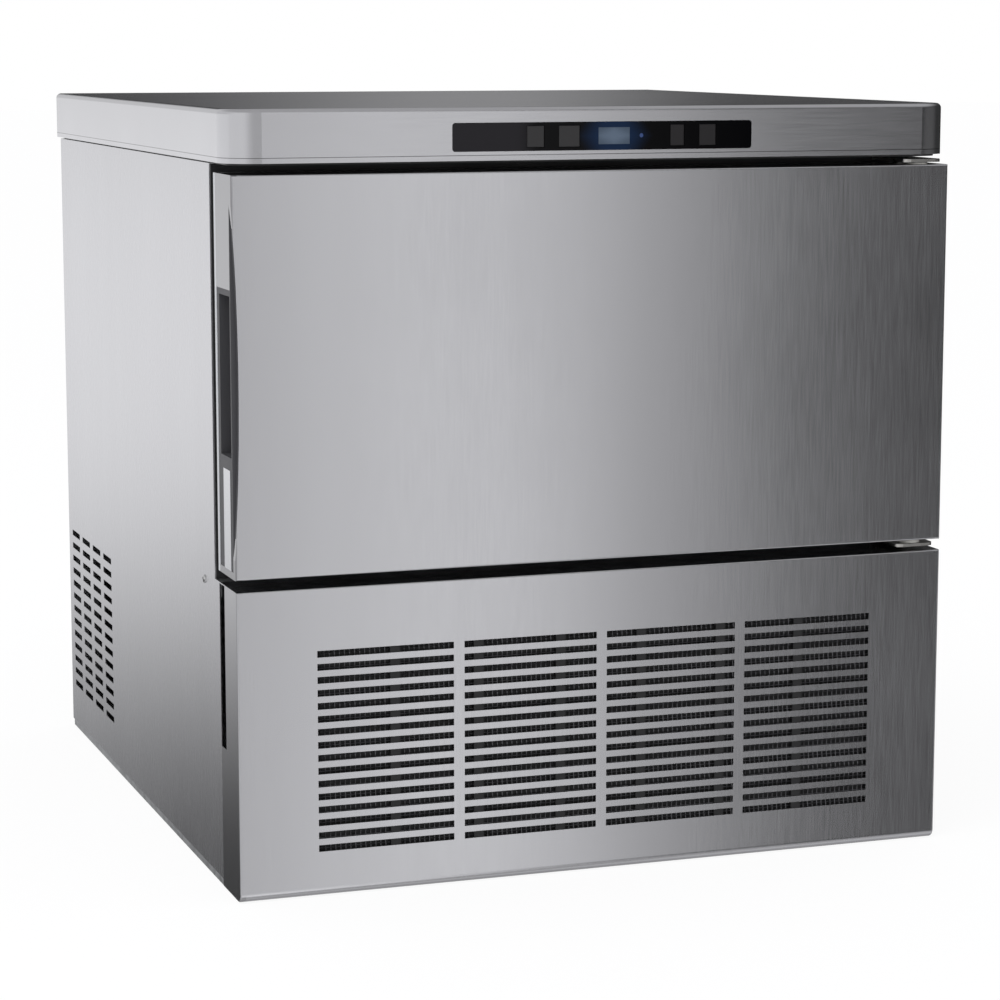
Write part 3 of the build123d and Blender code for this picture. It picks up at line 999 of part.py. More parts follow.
# Door liner: a moulded inner face with a seal groove and a raised centre panel.
PLUG_HALF_WIDTH = BIN_HALF_WIDTH - 24.0
PLUG_MARGIN = 22.0
PLUG_HEIGHT = 16.0
PLUG_CORNER = 24.0
PLUG_TAPER = 12.0
PLUG_WALL = 4.0
PLUG_HOLLOW_INSET = 10.0
SEAL_OUTER_X = half - 19.0
SEAL_MARGIN_Z = 8.0
SEAL_WIDTH = 16.0
SEAL_FOOT = 10.0
SEAL_GROOVE = 4.0
SEAL_CORNER = 18.0
door_centre_z = (DOOR_BOTTOM + DOOR_TOP) / 2
seal_height = DOOR_TOP - DOOR_BOTTOM - 2 * SEAL_MARGIN_Z
plug_z = (BIN_FLOOR + PLUG_MARGIN, BIN_CEILING - PLUG_MARGIN)
plug_hollow = ((-PLUG_HALF_WIDTH + PLUG_HOLLOW_INSET, PLUG_HALF_WIDTH - PLUG_HOLLOW_INSET),
               (door_flange_rear, door_rear + PLUG_HEIGHT - PLUG_WALL),
               (plug_z[0] + PLUG_HOLLOW_INSET, plug_z[1] - PLUG_HOLLOW_INSET))


def seal_ring(width, inset):
    """Draws the seal's ring, as wide as asked and set in from its outer line."""
    with Locations((0, door_centre_z)):
        RectangleRounded(2 * (SEAL_OUTER_X - inset), seal_height - 2 * inset, SEAL_CORNER - inset)
        RectangleRounded(2 * (SEAL_OUTER_X - inset - width), seal_height - 2 * (inset + width),
                         max(SEAL_CORNER - inset - width, 1.0), mode=Mode.SUBTRACT)


with BuildPart() as door_liner:
    block((-half, half), (door_flange_rear, door_rear), (DOOR_BOTTOM, DOOR_TOP))
    with BuildSketch(Plane.XZ.offset(-door_rear)):
        with Locations((0, (plug_z[0] + plug_z[1]) / 2)):
            RectangleRounded(2 * PLUG_HALF_WIDTH, plug_z[1] - plug_z[0], PLUG_CORNER)
    extrude(amount=-PLUG_HEIGHT, taper=PLUG_TAPER)
    block(*plug_hollow, Mode.SUBTRACT)
    with BuildSketch(Plane.XZ.offset(-door_rear)):
        seal_ring(SEAL_FOOT, (SEAL_WIDTH - SEAL_FOOT) / 2)
    extrude(amount=SEAL_GROOVE, mode=Mode.SUBTRACT)
write("door_liner", door_liner)

# Door foam: fills the pan round the grip housing and the bushes.
with BuildPart() as door_insulation:
    block((-half + DOOR_SHEET, half - DOOR_SHEET), (front + DOOR_SHEET, door_flange_rear),
          (DOOR_BOTTOM + DOOR_SHEET, DOOR_TOP - DOOR_SHEET))
    block(*plug_hollow)
    block((-half, -half + HOUSING_DEPTH_X), (front, door_flange_rear), (GRIP_BOTTOM, GRIP_TOP),
          Mode.SUBTRACT)
    block((-half, -half + GRIP_RECESS), (front, front + GRIP_LIP), (SCOOP_BOTTOM, SCOOP_TOP), Mode.SUBTRACT)
    for level in ((DOOR_BOTTOM, DOOR_BOTTOM + BUSH_LENGTH), (DOOR_TOP - BUSH_LENGTH, DOOR_TOP)):
        post((hinge_x, hinge_y), BUSH_RADIUS, level, Mode.SUBTRACT)
write("door_insulation", door_insulation)

# Door seal: a foot in the groove and a soft bellows that closes on the front frame.
SEAL_REST_GAP = 0.3
BELLOWS_SETBACK = 5.0
BELLOWS_WIDTH = 3.0
with BuildPart() as door_gasket:
    with BuildSketch(Plane.XZ.offset(-door_rear + SEAL_GROOVE)):
        seal_ring(SEAL_FOOT, (SEAL_WIDTH - SEAL_FOOT) / 2)
    extrude(amount=-SEAL_GROOVE)
    with BuildSketch(Plane.XZ.offset(-door_rear)):
        seal_ring(SEAL_WIDTH, 0)
    extrude(amount=-(SEAL_GAP - SEAL_REST_GAP))
    with BuildSketch(Plane.XZ.offset(-door_rear - BELLOWS_SETBACK)):
        seal_ring(BELLOWS_WIDTH, 0)
    extrude(amount=-BELLOWS_WIDTH, mode=Mode.SUBTRACT)
write("door_gasket", door_gasket)

# Hinge bushes: two plastic bushes in the door, open towards the cabinet's pins.
BUSH_FLANGE_RADIUS = 11.0
UPPER_FLANGE_THICK = 1.5
HINGE_FACE_GAP = 0.3
BUSH_END = 3.0
UPPER_PLATE_BOTTOM = DOOR_TOP + 2.0
LOWER_PLATE_TOP = PANEL_TOP + 6.0
with BuildPart() as door_bushes:
    post((hinge_x, hinge_y), BUSH_RADIUS, (DOOR_BOTTOM, DOOR_BOTTOM + BUSH_LENGTH))
    post((hinge_x, hinge_y), BUSH_FLANGE_RADIUS, (LOWER_PLATE_TOP + HINGE_FACE_GAP, DOOR_BOTTOM))
    post((hinge_x, hinge_y), PIN_RADIUS + PIN_CLEARANCE,
         (LOWER_PLATE_TOP, DOOR_BOTTOM + BUSH_LENGTH - BUSH_END), Mode.SUBTRACT)
    post((hinge_x, hinge_y), BUSH_RADIUS, (DOOR_TOP - BUSH_LENGTH, DOOR_TOP))
    post((hinge_x, hinge_y), BUSH_FLANGE_RADIUS, (DOOR_TOP, DOOR_TOP + UPPER_FLANGE_THICK))
    post((hinge_x, hinge_y), PIN_RADIUS + PIN_CLEARANCE,
         (DOOR_TOP - BUSH_LENGTH + BUSH_END, UPPER_PLATE_BOTTOM), Mode.SUBTRACT)
write("door_bushes", door_bushes)

# Hinge brackets: bent plates fixed to the front frame, each with a pin.
HINGE_PLATE_HALF = 20.0
HINGE_PLATE_NOSE = 12.0
HINGE_PLATE_CORNER = 8.0
HINGE_PLATE_THICK = 3.0
HINGE_LEG_HEIGHT = 26.0
HINGE_LEG_WIDTH = 15.8
HINGE_LEG_THICK = 3.0
PIN_LENGTH = BUSH_LENGTH - 5.0
hinge_plate_x = (hinge_x - HINGE_PLATE_HALF, inner)
hinge_plate_y = (hinge_y - HINGE_PLATE_NOSE, frame_front)
hinge_leg_x = (inner - HINGE_LEG_WIDTH, inner)


def hinge_bracket(plate_z, leg_z, pin_z):
    """Adds one hinge bracket: plate, leg and pin."""
    block(hinge_plate_x, hinge_plate_y, plate_z)
    block(hinge_leg_x, (frame_front - HINGE_LEG_THICK, frame_front), leg_z)
    post((hinge_x, hinge_y), PIN_RADIUS, pin_z)


with BuildPart() as hinge_brackets:
    hinge_bracket(
        (UPPER_PLATE_BOTTOM, UPPER_PLATE_BOTTOM + HINGE_PLATE_THICK),
        (UPPER_PLATE_BOTTOM - HINGE_LEG_HEIGHT, UPPER_PLATE_BOTTOM),
        (DOOR_TOP + UPPER_FLANGE_THICK - PIN_LENGTH, UPPER_PLATE_BOTTOM))
    hinge_bracket(
        (LOWER_PLATE_TOP - HINGE_PLATE_THICK, LOWER_PLATE_TOP),
        (LOWER_PLATE_TOP, LOWER_PLATE_TOP + HINGE_LEG_HEIGHT),
        (LOWER_PLATE_TOP, DOOR_BOTTOM + PIN_LENGTH))
    front_corners = hinge_brackets.edges().filter_by(Axis.Z).group_by(Axis.Y)[0]
    fillet(front_corners, HINGE_PLATE_CORNER)
write("hinge_brackets", hinge_brackets)

# Lid: a pressed cover with round front corners, a soft top edge and a window cut in front.
lid_half = LID_WIDTH / 2
WINDOW_CORNER = 3.0
lid_skirt_bottom = LID_BOTTOM + LID_SHADOW_GAP
with BuildPart() as top_cover:
    block((-lid_half, lid_half), (front, back), (lid_skirt_bottom, HEIGHT))
    fillet(top_cover.edges().filter_by(Axis.Z).group_by(Axis.Y)[0], LID_CORNER)
    fillet(top_cover.edges().group_by(Axis.Z)[-1], LID_EDGE)
    offset(amount=-LID_WALL, openings=top_cover.faces().sort_by(Axis.Z)[0])
    with BuildSketch(Plane.XZ.offset(-front)):
        with Locations((0, WINDOW_Z)):
            RectangleRounded(WINDOW_WIDTH, WINDOW_HEIGHT, WINDOW_CORNER)
    extrude(amount=-2 * LID_WALL, mode=Mode.SUBTRACT)
write("top_cover", top_cover)

# Lid base: closes the lid below and stands it on the cabinet, set in to leave a shadow line.
BASE_INSET = 7.0
BASE_FOOT = 4.0
BASE_SHELF = 2.0
with BuildPart() as lid_base:
    block((-lid_half + BASE_INSET, lid_half - BASE_INSET), (front + BASE_INSET, back - BASE_INSET),
          (LID_BOTTOM, LID_BOTTOM + BASE_FOOT))
    fillet(lid_base.edges().filter_by(Axis.Z).group_by(Axis.Y)[0], LID_CORNER - BASE_INSET)
    with BuildSketch(Plane.XY.offset(LID_BOTTOM + BASE_FOOT)):
        shelf_depth = back - front - 2 * LID_WALL
        with Locations((0, (front + back) / 2)):
            shelf = Rectangle(LID_WIDTH - 2 * LID_WALL, shelf_depth)
            fillet(shelf.vertices().group_by(Axis.Y)[0], LID_CORNER - LID_WALL)
    extrude(amount=BASE_SHELF)
write("lid_base", lid_base)

# Control window: dark glass let into the lid, with a rim behind and cut-outs for the keys.
window_rear = front + WINDOW_THICK
window_face_rear = front + LID_WALL
window_hole_y = (front, window_rear)
with BuildPart() as display_window:
    with BuildSketch(Plane.XZ.offset(-front)):
        with Locations((0, WINDOW_Z)):
            RectangleRounded(WINDOW_WIDTH - 2 * WINDOW_CLEARANCE, WINDOW_HEIGHT - 2 * WINDOW_CLEARANCE,
                             WINDOW_CORNER - WINDOW_CLEARANCE)
    extrude(amount=-WINDOW_THICK)
    with BuildSketch(Plane.XZ.offset(-window_face_rear)):
        with Locations((0, WINDOW_Z)):
            RectangleRounded(WINDOW_WIDTH + 2 * WINDOW_RIM, WINDOW_HEIGHT + 2 * WINDOW_RIM, WINDOW_CORNER)
    extrude(amount=window_face_rear - window_rear)
    for key_x, key_width in KEY_WIDTHS_AT:
        block((key_x - key_width / 2 - KEY_GAP, key_x + key_width / 2 + KEY_GAP), window_hole_y,
              (WINDOW_Z - KEY_HEIGHT / 2 - KEY_GAP, WINDOW_Z + KEY_HEIGHT / 2 + KEY_GAP), Mode.SUBTRACT)
    block((SCREEN_CENTRE_X - SCREEN_WIDTH / 2, SCREEN_CENTRE_X + SCREEN_WIDTH / 2), window_hole_y,
          (WINDOW_Z - SCREEN_HEIGHT / 2, WINDOW_Z + SCREEN_HEIGHT / 2), Mode.SUBTRACT)
    rod_y((LAMP_X, WINDOW_Z), LAMP_RADIUS, window_hole_y, Mode.SUBTRACT)
write("display_window", display_window)

# Keys: four caps that slide in the window, each with a rim behind it and a stem.
BOARD_FRONT = front + 14.0
BOARD_THICK = 1.6
SWITCH_DEPTH = 4.0
SWITCH_HALF = 4.0
KEY_SET_IN = 0.2
KEY_EDGE = 0.6
KEY_RIM = 1.5
KEY_RIM_THICK = 1.2
KEY_STEM_RADIUS = 2.5
KEY_REST_GAP = 0.3
switch_front = BOARD_FRONT - SWITCH_DEPTH
key_rim_front = window_rear + KEY_REST_GAP
key_rim_rear = key_rim_front + KEY_RIM_THICK
for number, (key_x, key_width) in enumerate(KEY_WIDTHS_AT, start=1):
    with BuildPart() as key:
        block((key_x - key_width / 2, key_x + key_width / 2), (front + KEY_SET_IN, key_rim_front),
              (WINDOW_Z - KEY_HEIGHT / 2, WINDOW_Z + KEY_HEIGHT / 2))
        fillet(key.edges().group_by(Axis.Y)[0], KEY_EDGE)
        block((key_x - key_width / 2 - KEY_RIM, key_x + key_width / 2 + KEY_RIM),
              (key_rim_front, key_rim_rear),
              (WINDOW_Z - KEY_HEIGHT / 2 - KEY_RIM, WINDOW_Z + KEY_HEIGHT / 2 + KEY_RIM))
        rod_y((key_x, WINDOW_Z), KEY_STEM_RADIUS, (key_rim_rear, switch_front - KEY_TRAVEL - KEY_REST_GAP))
    write(f"key_{number}", key)

# Control board with its switches, the lit screen and the lamp.
BOARD_HALF_WIDTH = WINDOW_WIDTH / 2 + 5.5
BOARD_HALF_HEIGHT = 15.0
RELAY_X = (-140.0, -110.0)
RELAY_DEPTH = 8.0
RELAY_HALF_HEIGHT = 8.0
SCREEN_SET_IN = 0.3
SCREEN_FRAME = 3.0
with BuildPart() as control_board:
    block((-BOARD_HALF_WIDTH, BOARD_HALF_WIDTH), (BOARD_FRONT, BOARD_FRONT + BOARD_THICK),
          (WINDOW_Z - BOARD_HALF_HEIGHT, WINDOW_Z + BOARD_HALF_HEIGHT))
    for key_x, key_width in KEY_WIDTHS_AT:
        block((key_x - SWITCH_HALF, key_x + SWITCH_HALF), (switch_front, BOARD_FRONT),
              (WINDOW_Z - SWITCH_HALF, WINDOW_Z + SWITCH_HALF))
    block(RELAY_X, (BOARD_FRONT + BOARD_THICK, BOARD_FRONT + RELAY_DEPTH),
          (WINDOW_Z - RELAY_HALF_HEIGHT, WINDOW_Z + RELAY_HALF_HEIGHT))
write("control_board", control_board)
with BuildPart() as display_module:
    block((SCREEN_CENTRE_X - SCREEN_WIDTH / 2, SCREEN_CENTRE_X + SCREEN_WIDTH / 2),
          (front + SCREEN_SET_IN, window_rear),
          (WINDOW_Z - SCREEN_HEIGHT / 2, WINDOW_Z + SCREEN_HEIGHT / 2))
    block((SCREEN_CENTRE_X - SCREEN_WIDTH / 2 - SCREEN_FRAME,
           SCREEN_CENTRE_X + SCREEN_WIDTH / 2 + SCREEN_FRAME),
          (window_rear, BOARD_FRONT),
          (WINDOW_Z - SCREEN_HEIGHT / 2 - SCREEN_FRAME, WINDOW_Z + SCREEN_HEIGHT / 2 + SCREEN_FRAME))
write("display_module", display_module)
with BuildPart() as status_lamp:
    rod_y((LAMP_X, WINDOW_Z), LAMP_RADIUS, (front + SCREEN_SET_IN, BOARD_FRONT))
write("status_lamp", status_lamp)

# Control housing: an open tray behind the window that holds the board on four posts.
HOUSING_HALF_WIDTH = WINDOW_WIDTH / 2 + 11.5
HOUSING_DEPTH = 18.0
HOUSING_WALL = 2.0
HOUSING_HEAD_GAP = 5.0
POST_HALF_X = 150.0
POST_HALF_Z = 10.0
POST_RADIUS = 3.0
housing_rear = BOARD_FRONT + HOUSING_DEPTH
housing_z = (LID_BOTTOM + BASE_FOOT + BASE_SHELF, HEIGHT - LID_WALL - HOUSING_HEAD_GAP)
with BuildPart() as control_housing:
    block((-HOUSING_HALF_WIDTH, HOUSING_HALF_WIDTH), (window_rear, housing_rear), housing_z)
    block((-HOUSING_HALF_WIDTH + HOUSING_WALL, HOUSING_HALF_WIDTH - HOUSING_WALL),
          (window_rear, housing_rear - HOUSING_WALL),
          (housing_z[0] + HOUSING_WALL, housing_z[1] - HOUSING_WALL), Mode.SUBTRACT)
    for x in (-POST_HALF_X, POST_HALF_X):
        for z in (WINDOW_Z - POST_HALF_Z, WINDOW_Z + POST_HALF_Z):
            rod_y((x, z), POST_RADIUS, (BOARD_FRONT + BOARD_THICK, housing_rear))
write("control_housing", control_housing)
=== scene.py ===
import logging
import math
from dataclasses import dataclass
from enum import Enum
from typing import Iterable, Sequence

import bmesh
import bpy
from mathutils import Matrix, Vector


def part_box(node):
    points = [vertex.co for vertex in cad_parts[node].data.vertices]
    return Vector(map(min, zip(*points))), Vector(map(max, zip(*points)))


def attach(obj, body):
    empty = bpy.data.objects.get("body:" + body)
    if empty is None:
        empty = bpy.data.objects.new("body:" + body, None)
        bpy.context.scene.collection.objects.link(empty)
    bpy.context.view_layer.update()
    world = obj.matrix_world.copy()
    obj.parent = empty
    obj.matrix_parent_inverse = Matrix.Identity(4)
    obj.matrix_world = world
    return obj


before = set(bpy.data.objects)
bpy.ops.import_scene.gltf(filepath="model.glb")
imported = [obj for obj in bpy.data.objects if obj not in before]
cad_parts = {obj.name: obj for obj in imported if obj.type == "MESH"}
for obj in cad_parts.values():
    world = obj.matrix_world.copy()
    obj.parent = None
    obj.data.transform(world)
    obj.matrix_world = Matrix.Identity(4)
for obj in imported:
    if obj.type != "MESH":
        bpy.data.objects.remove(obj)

LOG = logging.getLogger("ice_machine")
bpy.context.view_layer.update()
MM = 0.001
BLACK = (0.0, 0.0, 0.0)
WHITE = (1.0, 1.0, 1.0)
FLANK_WIDTH = 6.0 * MM
FLANK_START = 0.2 * MM

Colour = tuple[float, float, float]
Curve = tuple[float, float, float, float]
Point = tuple[float, float, float]
Span = tuple[float, float]


class Grain(Enum):
    """Which way the brushing runs on a sheet."""

    ALONG_X = (1.0, 60.0, 60.0)
    ALONG_Z = (60.0, 60.0, 1.0)


class Socket:
    """One shader socket whose arithmetic adds Math nodes."""

    def __init__(self, tree: "Graph", link: bpy.types.NodeSocket) -> None:
        """Wraps a socket of a node tree."""
        self.tree = tree
        self.link = link

    def _math(self, operation: str, *values: "Socket | float") -> "Socket":
        """Adds a Math node and returns its result."""
        return self.tree.add("ShaderNodeMath", {"operation": operation}, dict(enumerate(values)))

    def __add__(self, other: "Socket | float") -> "Socket":
        """Adds two values."""
        return self._math("ADD", self, other)

    def __radd__(self, other: float) -> "Socket":
        """Adds a number to this value."""
        return self._math("ADD", other, self)

    def __sub__(self, other: "Socket | float") -> "Socket":
        """Takes a value from this one."""
        return self._math("SUBTRACT", self, other)

    def __rsub__(self, other: float) -> "Socket":
        """Takes this value from a number."""
        return self._math("SUBTRACT", other, self)

    def __mul__(self, other: "Socket | float") -> "Socket":
        """Multiplies two values."""
        return self._math("MULTIPLY", self, other)

    def __rmul__(self, other: float) -> "Socket":
        """Multiplies a number by this value."""
        return self._math("MULTIPLY", other, self)

    def __truediv__(self, other: "Socket | float") -> "Socket":
        """Divides this value."""
        return self._math("DIVIDE", self, other)

    def __lt__(self, other: "Socket | float") -> "Socket":
        """Gives 1 where this value is the smaller."""
        return self._math("LESS_THAN", self, other)

    def __gt__(self, other: "Socket | float") -> "Socket":
        """Gives 1 where this value is the larger."""
        return self._math("GREATER_THAN", self, other)

    def __abs__(self) -> "Socket":
        """Gives the value without its sign."""
        return self._math("ABSOLUTE", self)

    def root(self) -> "Socket":
        """Gives the square root."""
        return self._math("SQRT", self)

    def at_least(self, limit: float) -> "Socket":
        """Gives the value, or the limit where that is larger."""
        return self._math("MAXIMUM", self, limit)


class Graph:
    """A shader node tree under construction."""

    def __init__(self, owner: bpy.types.Material | bpy.types.World, output: str) -> None:
        """Starts an empty tree.

        Args:
            owner: The material or world that holds the tree.
            output: The type of its output node.
        """
        owner.use_nodes = True
        self.nodes = owner.node_tree.nodes
        self.links = owner.node_tree.links
        self.nodes.clear()
        self.output = self.nodes.new(output)

    def add(
        self,
        kind: str,
        settings: dict[str, object] | None = None,
        inputs: dict[object, object] | None = None,
        result: int | str = 0,
    ) -> Socket:
        """Adds a node, sets it up and feeds it.

        Args:
            kind: The node's type.
            settings: Properties that are set first.
            inputs: Values or sockets, by input name or number.
            result: Which output to return.

        Returns:
            The chosen output, wrapped.
        """
        node = self.nodes.new(kind)
        for key, value in (settings or {}).items():
            setattr(node, key, value)
        for key, value in (inputs or {}).items():
            self.feed(node.inputs[key], value)
        return Socket(self, node.outputs[result])

    def feed(self, target: bpy.types.NodeSocket, value: object) -> None:
        """Links a socket, or sets a plain value.

        Args:
            target: The input that is fed.
            value: A wrapped socket, or what the input takes by itself.
        """
        if isinstance(value, Socket):
            self.links.new(value.link, target)
        else:
            target.default_value = value

    def finish(self, surface: Socket) -> None:
        """Feeds the tree's output."""
        self.feed(self.output.inputs["Surface"], surface)

    def place(self, scale: Point = (1.0, 1.0, 1.0), centre: Point = (0.0, 0.0, 0.0)) -> Socket:
        """Gives object coordinates from a centre, scaled.

        Args:
            scale: Stretch of the pattern along each axis, per metre.
            centre: The point that becomes the origin, in metres.

        Returns:
            The vector socket.
        """
        where = self.add("ShaderNodeTexCoord", result="Object")
        moved = self.add("ShaderNodeVectorMath", {"operation": "SUBTRACT"}, {0: where, 1: centre})
        return self.add("ShaderNodeVectorMath", {"operation": "MULTIPLY"}, {0: moved, 1: scale})

    def axes(self, vector: Socket) -> tuple[Socket, Socket, Socket]:
        """Splits a vector into its three parts.

        Args:
            vector: The vector.

        Returns:
            Its x, y and z.
        """
        node = self.nodes.new("ShaderNodeSeparateXYZ")
        self.feed(node.inputs[0], vector)
        return tuple(Socket(self, output) for output in node.outputs)

    def noise(
        self, vector: Socket, scale: float, detail: float = 2.0, rough: float = 0.5
    ) -> Socket:
        """Adds a noise pattern from 0 to 1.

        Args:
            vector: Where the pattern is read.
            scale: Its features per unit of the vector.
            detail: How many finer octaves it holds.
            rough: How strong those are.

        Returns:
            The pattern's value.
        """
        inputs = {"Vector": vector, "Scale": scale, "Detail": detail, "Roughness": rough}
        return self.add("ShaderNodeTexNoise", {"noise_dimensions": "3D"}, inputs, "Fac")

    def cells(self, vector: Socket, scale: float, result: str) -> Socket:
        """Adds a Voronoi pattern and gives its Color or its Distance."""
        inputs = {"Vector": vector, "Scale": scale}
        return self.add("ShaderNodeTexVoronoi", {"feature": "F1"}, inputs, result)

    def ramp(self, value: Socket, low: float, high: float, start: float, end: float) -> Socket:
        """Maps a value from one range to another by a smooth step, clamped.

        Args:
            value: What is mapped.
            low: Where the step starts.
            high: Where it ends.
            start: The result up to its start.
            end: The result from its end on.

        Returns:
            The mapped value.
        """
        inputs = {"Value": value, "From Min": low, "From Max": high, "To Min": start, "To Max": end}
        settings = {"clamp": True, "interpolation_type": "SMOOTHSTEP"}
        return self.add("ShaderNodeMapRange", settings, inputs)

    def mix(self, factor: Socket | float, first: object, second: object) -> Socket:
        """Mixes two colours.

        Args:
            factor: The second colour's share.
            first: A colour or a socket.
            second: A colour or a socket.

        Returns:
            The mixed colour.
        """
        node = self.nodes.new("ShaderNodeMix")
        node.data_type = "RGBA"
        self.feed(node.inputs[0], factor)
        for index, value in ((6, first), (7, second)):
            self.feed(node.inputs[index], value if isinstance(value, Socket) else (*value, 1.0))
        return Socket(self, node.outputs[2])

    def blend(self, factor: Socket, first: Socket, second: Socket) -> Socket:
        """Mixes two surfaces."""
        return self.add("ShaderNodeMixShader", None, {0: factor, 1: first, 2: second})

    def ray(self, kind: str) -> Socket:
        """Gives 1 for rays of a kind, such as Is Camera Ray."""
        return self.add("ShaderNodeLightPath", result=kind)

    def light(self, kind: str, colour: Colour, strength: Socket | float) -> Socket:
        """Adds an Emission or Background surface."""
        return self.add(kind, None, {"Color": (*colour, 1.0), "Strength": strength})


class Shader(Graph):
    """A material with one Principled surface."""

    def __init__(self, name: str) -> None:
        """Starts the material of that name."""
        self.material = bpy.data.materials.new(name)
        super().__init__(self.material, "ShaderNodeOutputMaterial")
        self.surface = self.nodes.new("ShaderNodeBsdfPrincipled")
        self.links.new(self.surface.outputs[0], self.output.inputs["Surface"])

    def set(self, **inputs: object) -> None:
        """Feeds the surface's inputs.

        Args:
            inputs: Values or sockets by input name, in small letters with underscores.
        """
        for key, value in inputs.items():
            title = key.replace("_", " ").title().replace("Ior", "IOR")
            self.feed(self.surface.inputs[title], value)

    def bump(self, height: Socket, distance: float) -> None:
        """Feeds a height pattern, whose full step is in metres, to the surface's normal."""
        inputs = {"Height": height, "Distance": distance, "Strength": 1.0}
        self.set(normal=self.add("ShaderNodeBump", None, inputs, "Normal"))


def shade(colour: Colour, share: float, lift: float = 0.0) -> Colour:
    """Scales a colour and keeps it within 1.

    Args:
        colour: The colour.
        share: What it is multiplied by.
        lift: What is added after that.

    Returns:
        The new colour.
    """
    return tuple(min(1.0, part * share + lift) for part in colour)


@dataclass(frozen=True)
class BrushedSteel:
    """Satin stainless sheet with fine lines along one axis.

    The painted shade on a flank is given as the x it lies beyond, the y it starts at and its share
    of the tint.
    """

    name: str
    grain: Grain
    tint: Colour = (0.675, 0.675, 0.695)
    roughness: float = 0.18
    flank_shade: tuple[float, float, float] | None = None
    hem: float | None = None
    line_scale: float = 26.0
    line_depth: float = 0.003 * MM
    band_scale: float = 1.6
    band_stretch: float = 8.0
    smudge_scale: float = 3.2
    darkest: float = 0.955
    palest: float = 1.035
    hem_half: float = 0.4 * MM
    # Share of the tint left on the painted shade line along the hem.
    hem_shade_share: float = 0.45

    def build(self) -> bpy.types.Material:
        """Builds the material, with painted shade on its flank and a painted shade line along its
        hem's level.

        Returns:
            The material.
        """
        shader = Shader(self.name)
        grain = self.grain.value
        lines = shader.noise(shader.place(grain), self.line_scale, 3.0, 0.65)
        broad = tuple(part / self.band_stretch for part in grain)
        bands = shader.noise(shader.place(broad), self.band_scale, 2.0)
        smudge = shader.noise(shader.place(), self.smudge_scale, 3.0, 0.6)
        tone = shader.ramp(lines * 0.10 + bands * 0.05 + smudge * 0.05, 0.06, 0.14, 0.0, 1.0)
        colour = shader.mix(tone, shade(self.tint, self.darkest), shade(self.tint, self.palest))
        x, y, z = shader.axes(shader.place())
        # Painted shade: the sheet's turned-back left edge is darkened as if less light fell on it.
        if self.flank_shade is not None:
            edge, start, share = self.flank_shade
            colour = shader.mix((x < edge) * (y > start), colour, shade(self.tint, share))
        # Painted shade: a dark line at the hem's level stands in for the shade along the sheet's
        # folded lower lip.
        if self.hem is not None:
            line = abs(z - self.hem) < self.hem_half
            colour = shader.mix(line, colour, shade(self.tint, self.hem_shade_share))
        worn = shader.ramp(
            lines + smudge * 0.5, 0.45, 1.05, self.roughness - 0.02, self.roughness + 0.03
        )
        shader.set(base_color=colour, metallic=1.0, roughness=worn)
        shader.bump(lines, self.line_depth)
        return shader.material


@dataclass(frozen=True)
class Moulding:
    """Moulded plastic or rubber with a fine skin."""

    name: str
    colour: Colour
    roughness: float = 0.45
    coat: float = 0.0
    skin_scale: float = 900.0
    skin_depth: float = 0.03 * MM
    cloud_scale: float = 6.0
    darkest: float = 0.88
    palest: float = 1.08
    lift: float = 0.002
    wear: float = 0.08
    smoothest: float = 0.02

    def build(self) -> bpy.types.Material:
        """Builds the material.

        Returns:
            The material.
        """
        shader = Shader(self.name)
        skin = shader.noise(shader.place(), self.skin_scale, 2.0)
        cloud = shader.noise(shader.place(), self.cloud_scale, 3.0, 0.6)
        low, high = shade(self.colour, self.darkest), shade(self.colour, self.palest, self.lift)
        least = max(self.smoothest, self.roughness - self.wear)
        worn = shader.ramp(cloud + skin * 0.3, 0.3, 1.0, least, self.roughness + self.wear)
        shader.set(base_color=shader.mix(cloud, low, high), metallic=0.0, roughness=worn,
                   coat_weight=self.coat)
        shader.bump(skin, self.skin_depth)
        return shader.material


@dataclass(frozen=True)
class PlainMetal:
    """Cast, drawn or coated metal with soft mottling."""

    name: str
    colour: Colour
    roughness: float = 0.35
    metallic: float = 1.0
    mottle_scale: float = 24.0
    contrast: float = 0.12
    fine_scale: float = 700.0
    fine_depth: float = 0.02 * MM

    def build(self) -> bpy.types.Material:
        """Builds the material.

        Returns:
            The material.
        """
        shader = Shader(self.name)
        mottle = shader.noise(shader.place(), self.mottle_scale, 4.0, 0.6)
        fine = shader.noise(shader.place(), self.fine_scale, 2.0)
        tone = shader.ramp(mottle, 0.3, 0.7, 0.0, 1.0)
        low, high = shade(self.colour, 1 - self.contrast), shade(self.colour, 1 + self.contrast)
        worn = shader.ramp(
            mottle + fine * 0.3, 0.3, 1.1, self.roughness - 0.07, self.roughness + 0.09
        )
        shader.set(base_color=shader.mix(tone, low, high), metallic=self.metallic, roughness=worn)
        shader.bump(fine, self.fine_depth)
        return shader.material


@dataclass(frozen=True)
class Spangle:
    """Zinc-coated sheet with its crystal pattern."""

    name: str
    colour: Colour = (0.56, 0.57, 0.58)
    crystals: float = 110.0
    contrast: float = 0.1

    def build(self) -> bpy.types.Material:
        """Builds the material.

        Returns:
            The material.
        """
        shader = Shader(self.name)
        level = shader.axes(shader.cells(shader.place(), self.crystals, "Color"))[0]
        low, high = shade(self.colour, 1 - self.contrast), shade(self.colour, 1 + self.contrast)
        colour = shader.mix(level, low, high)
        shader.set(base_color=colour, metallic=1.0, roughness=level * 0.12 + 0.36)
        return shader.material


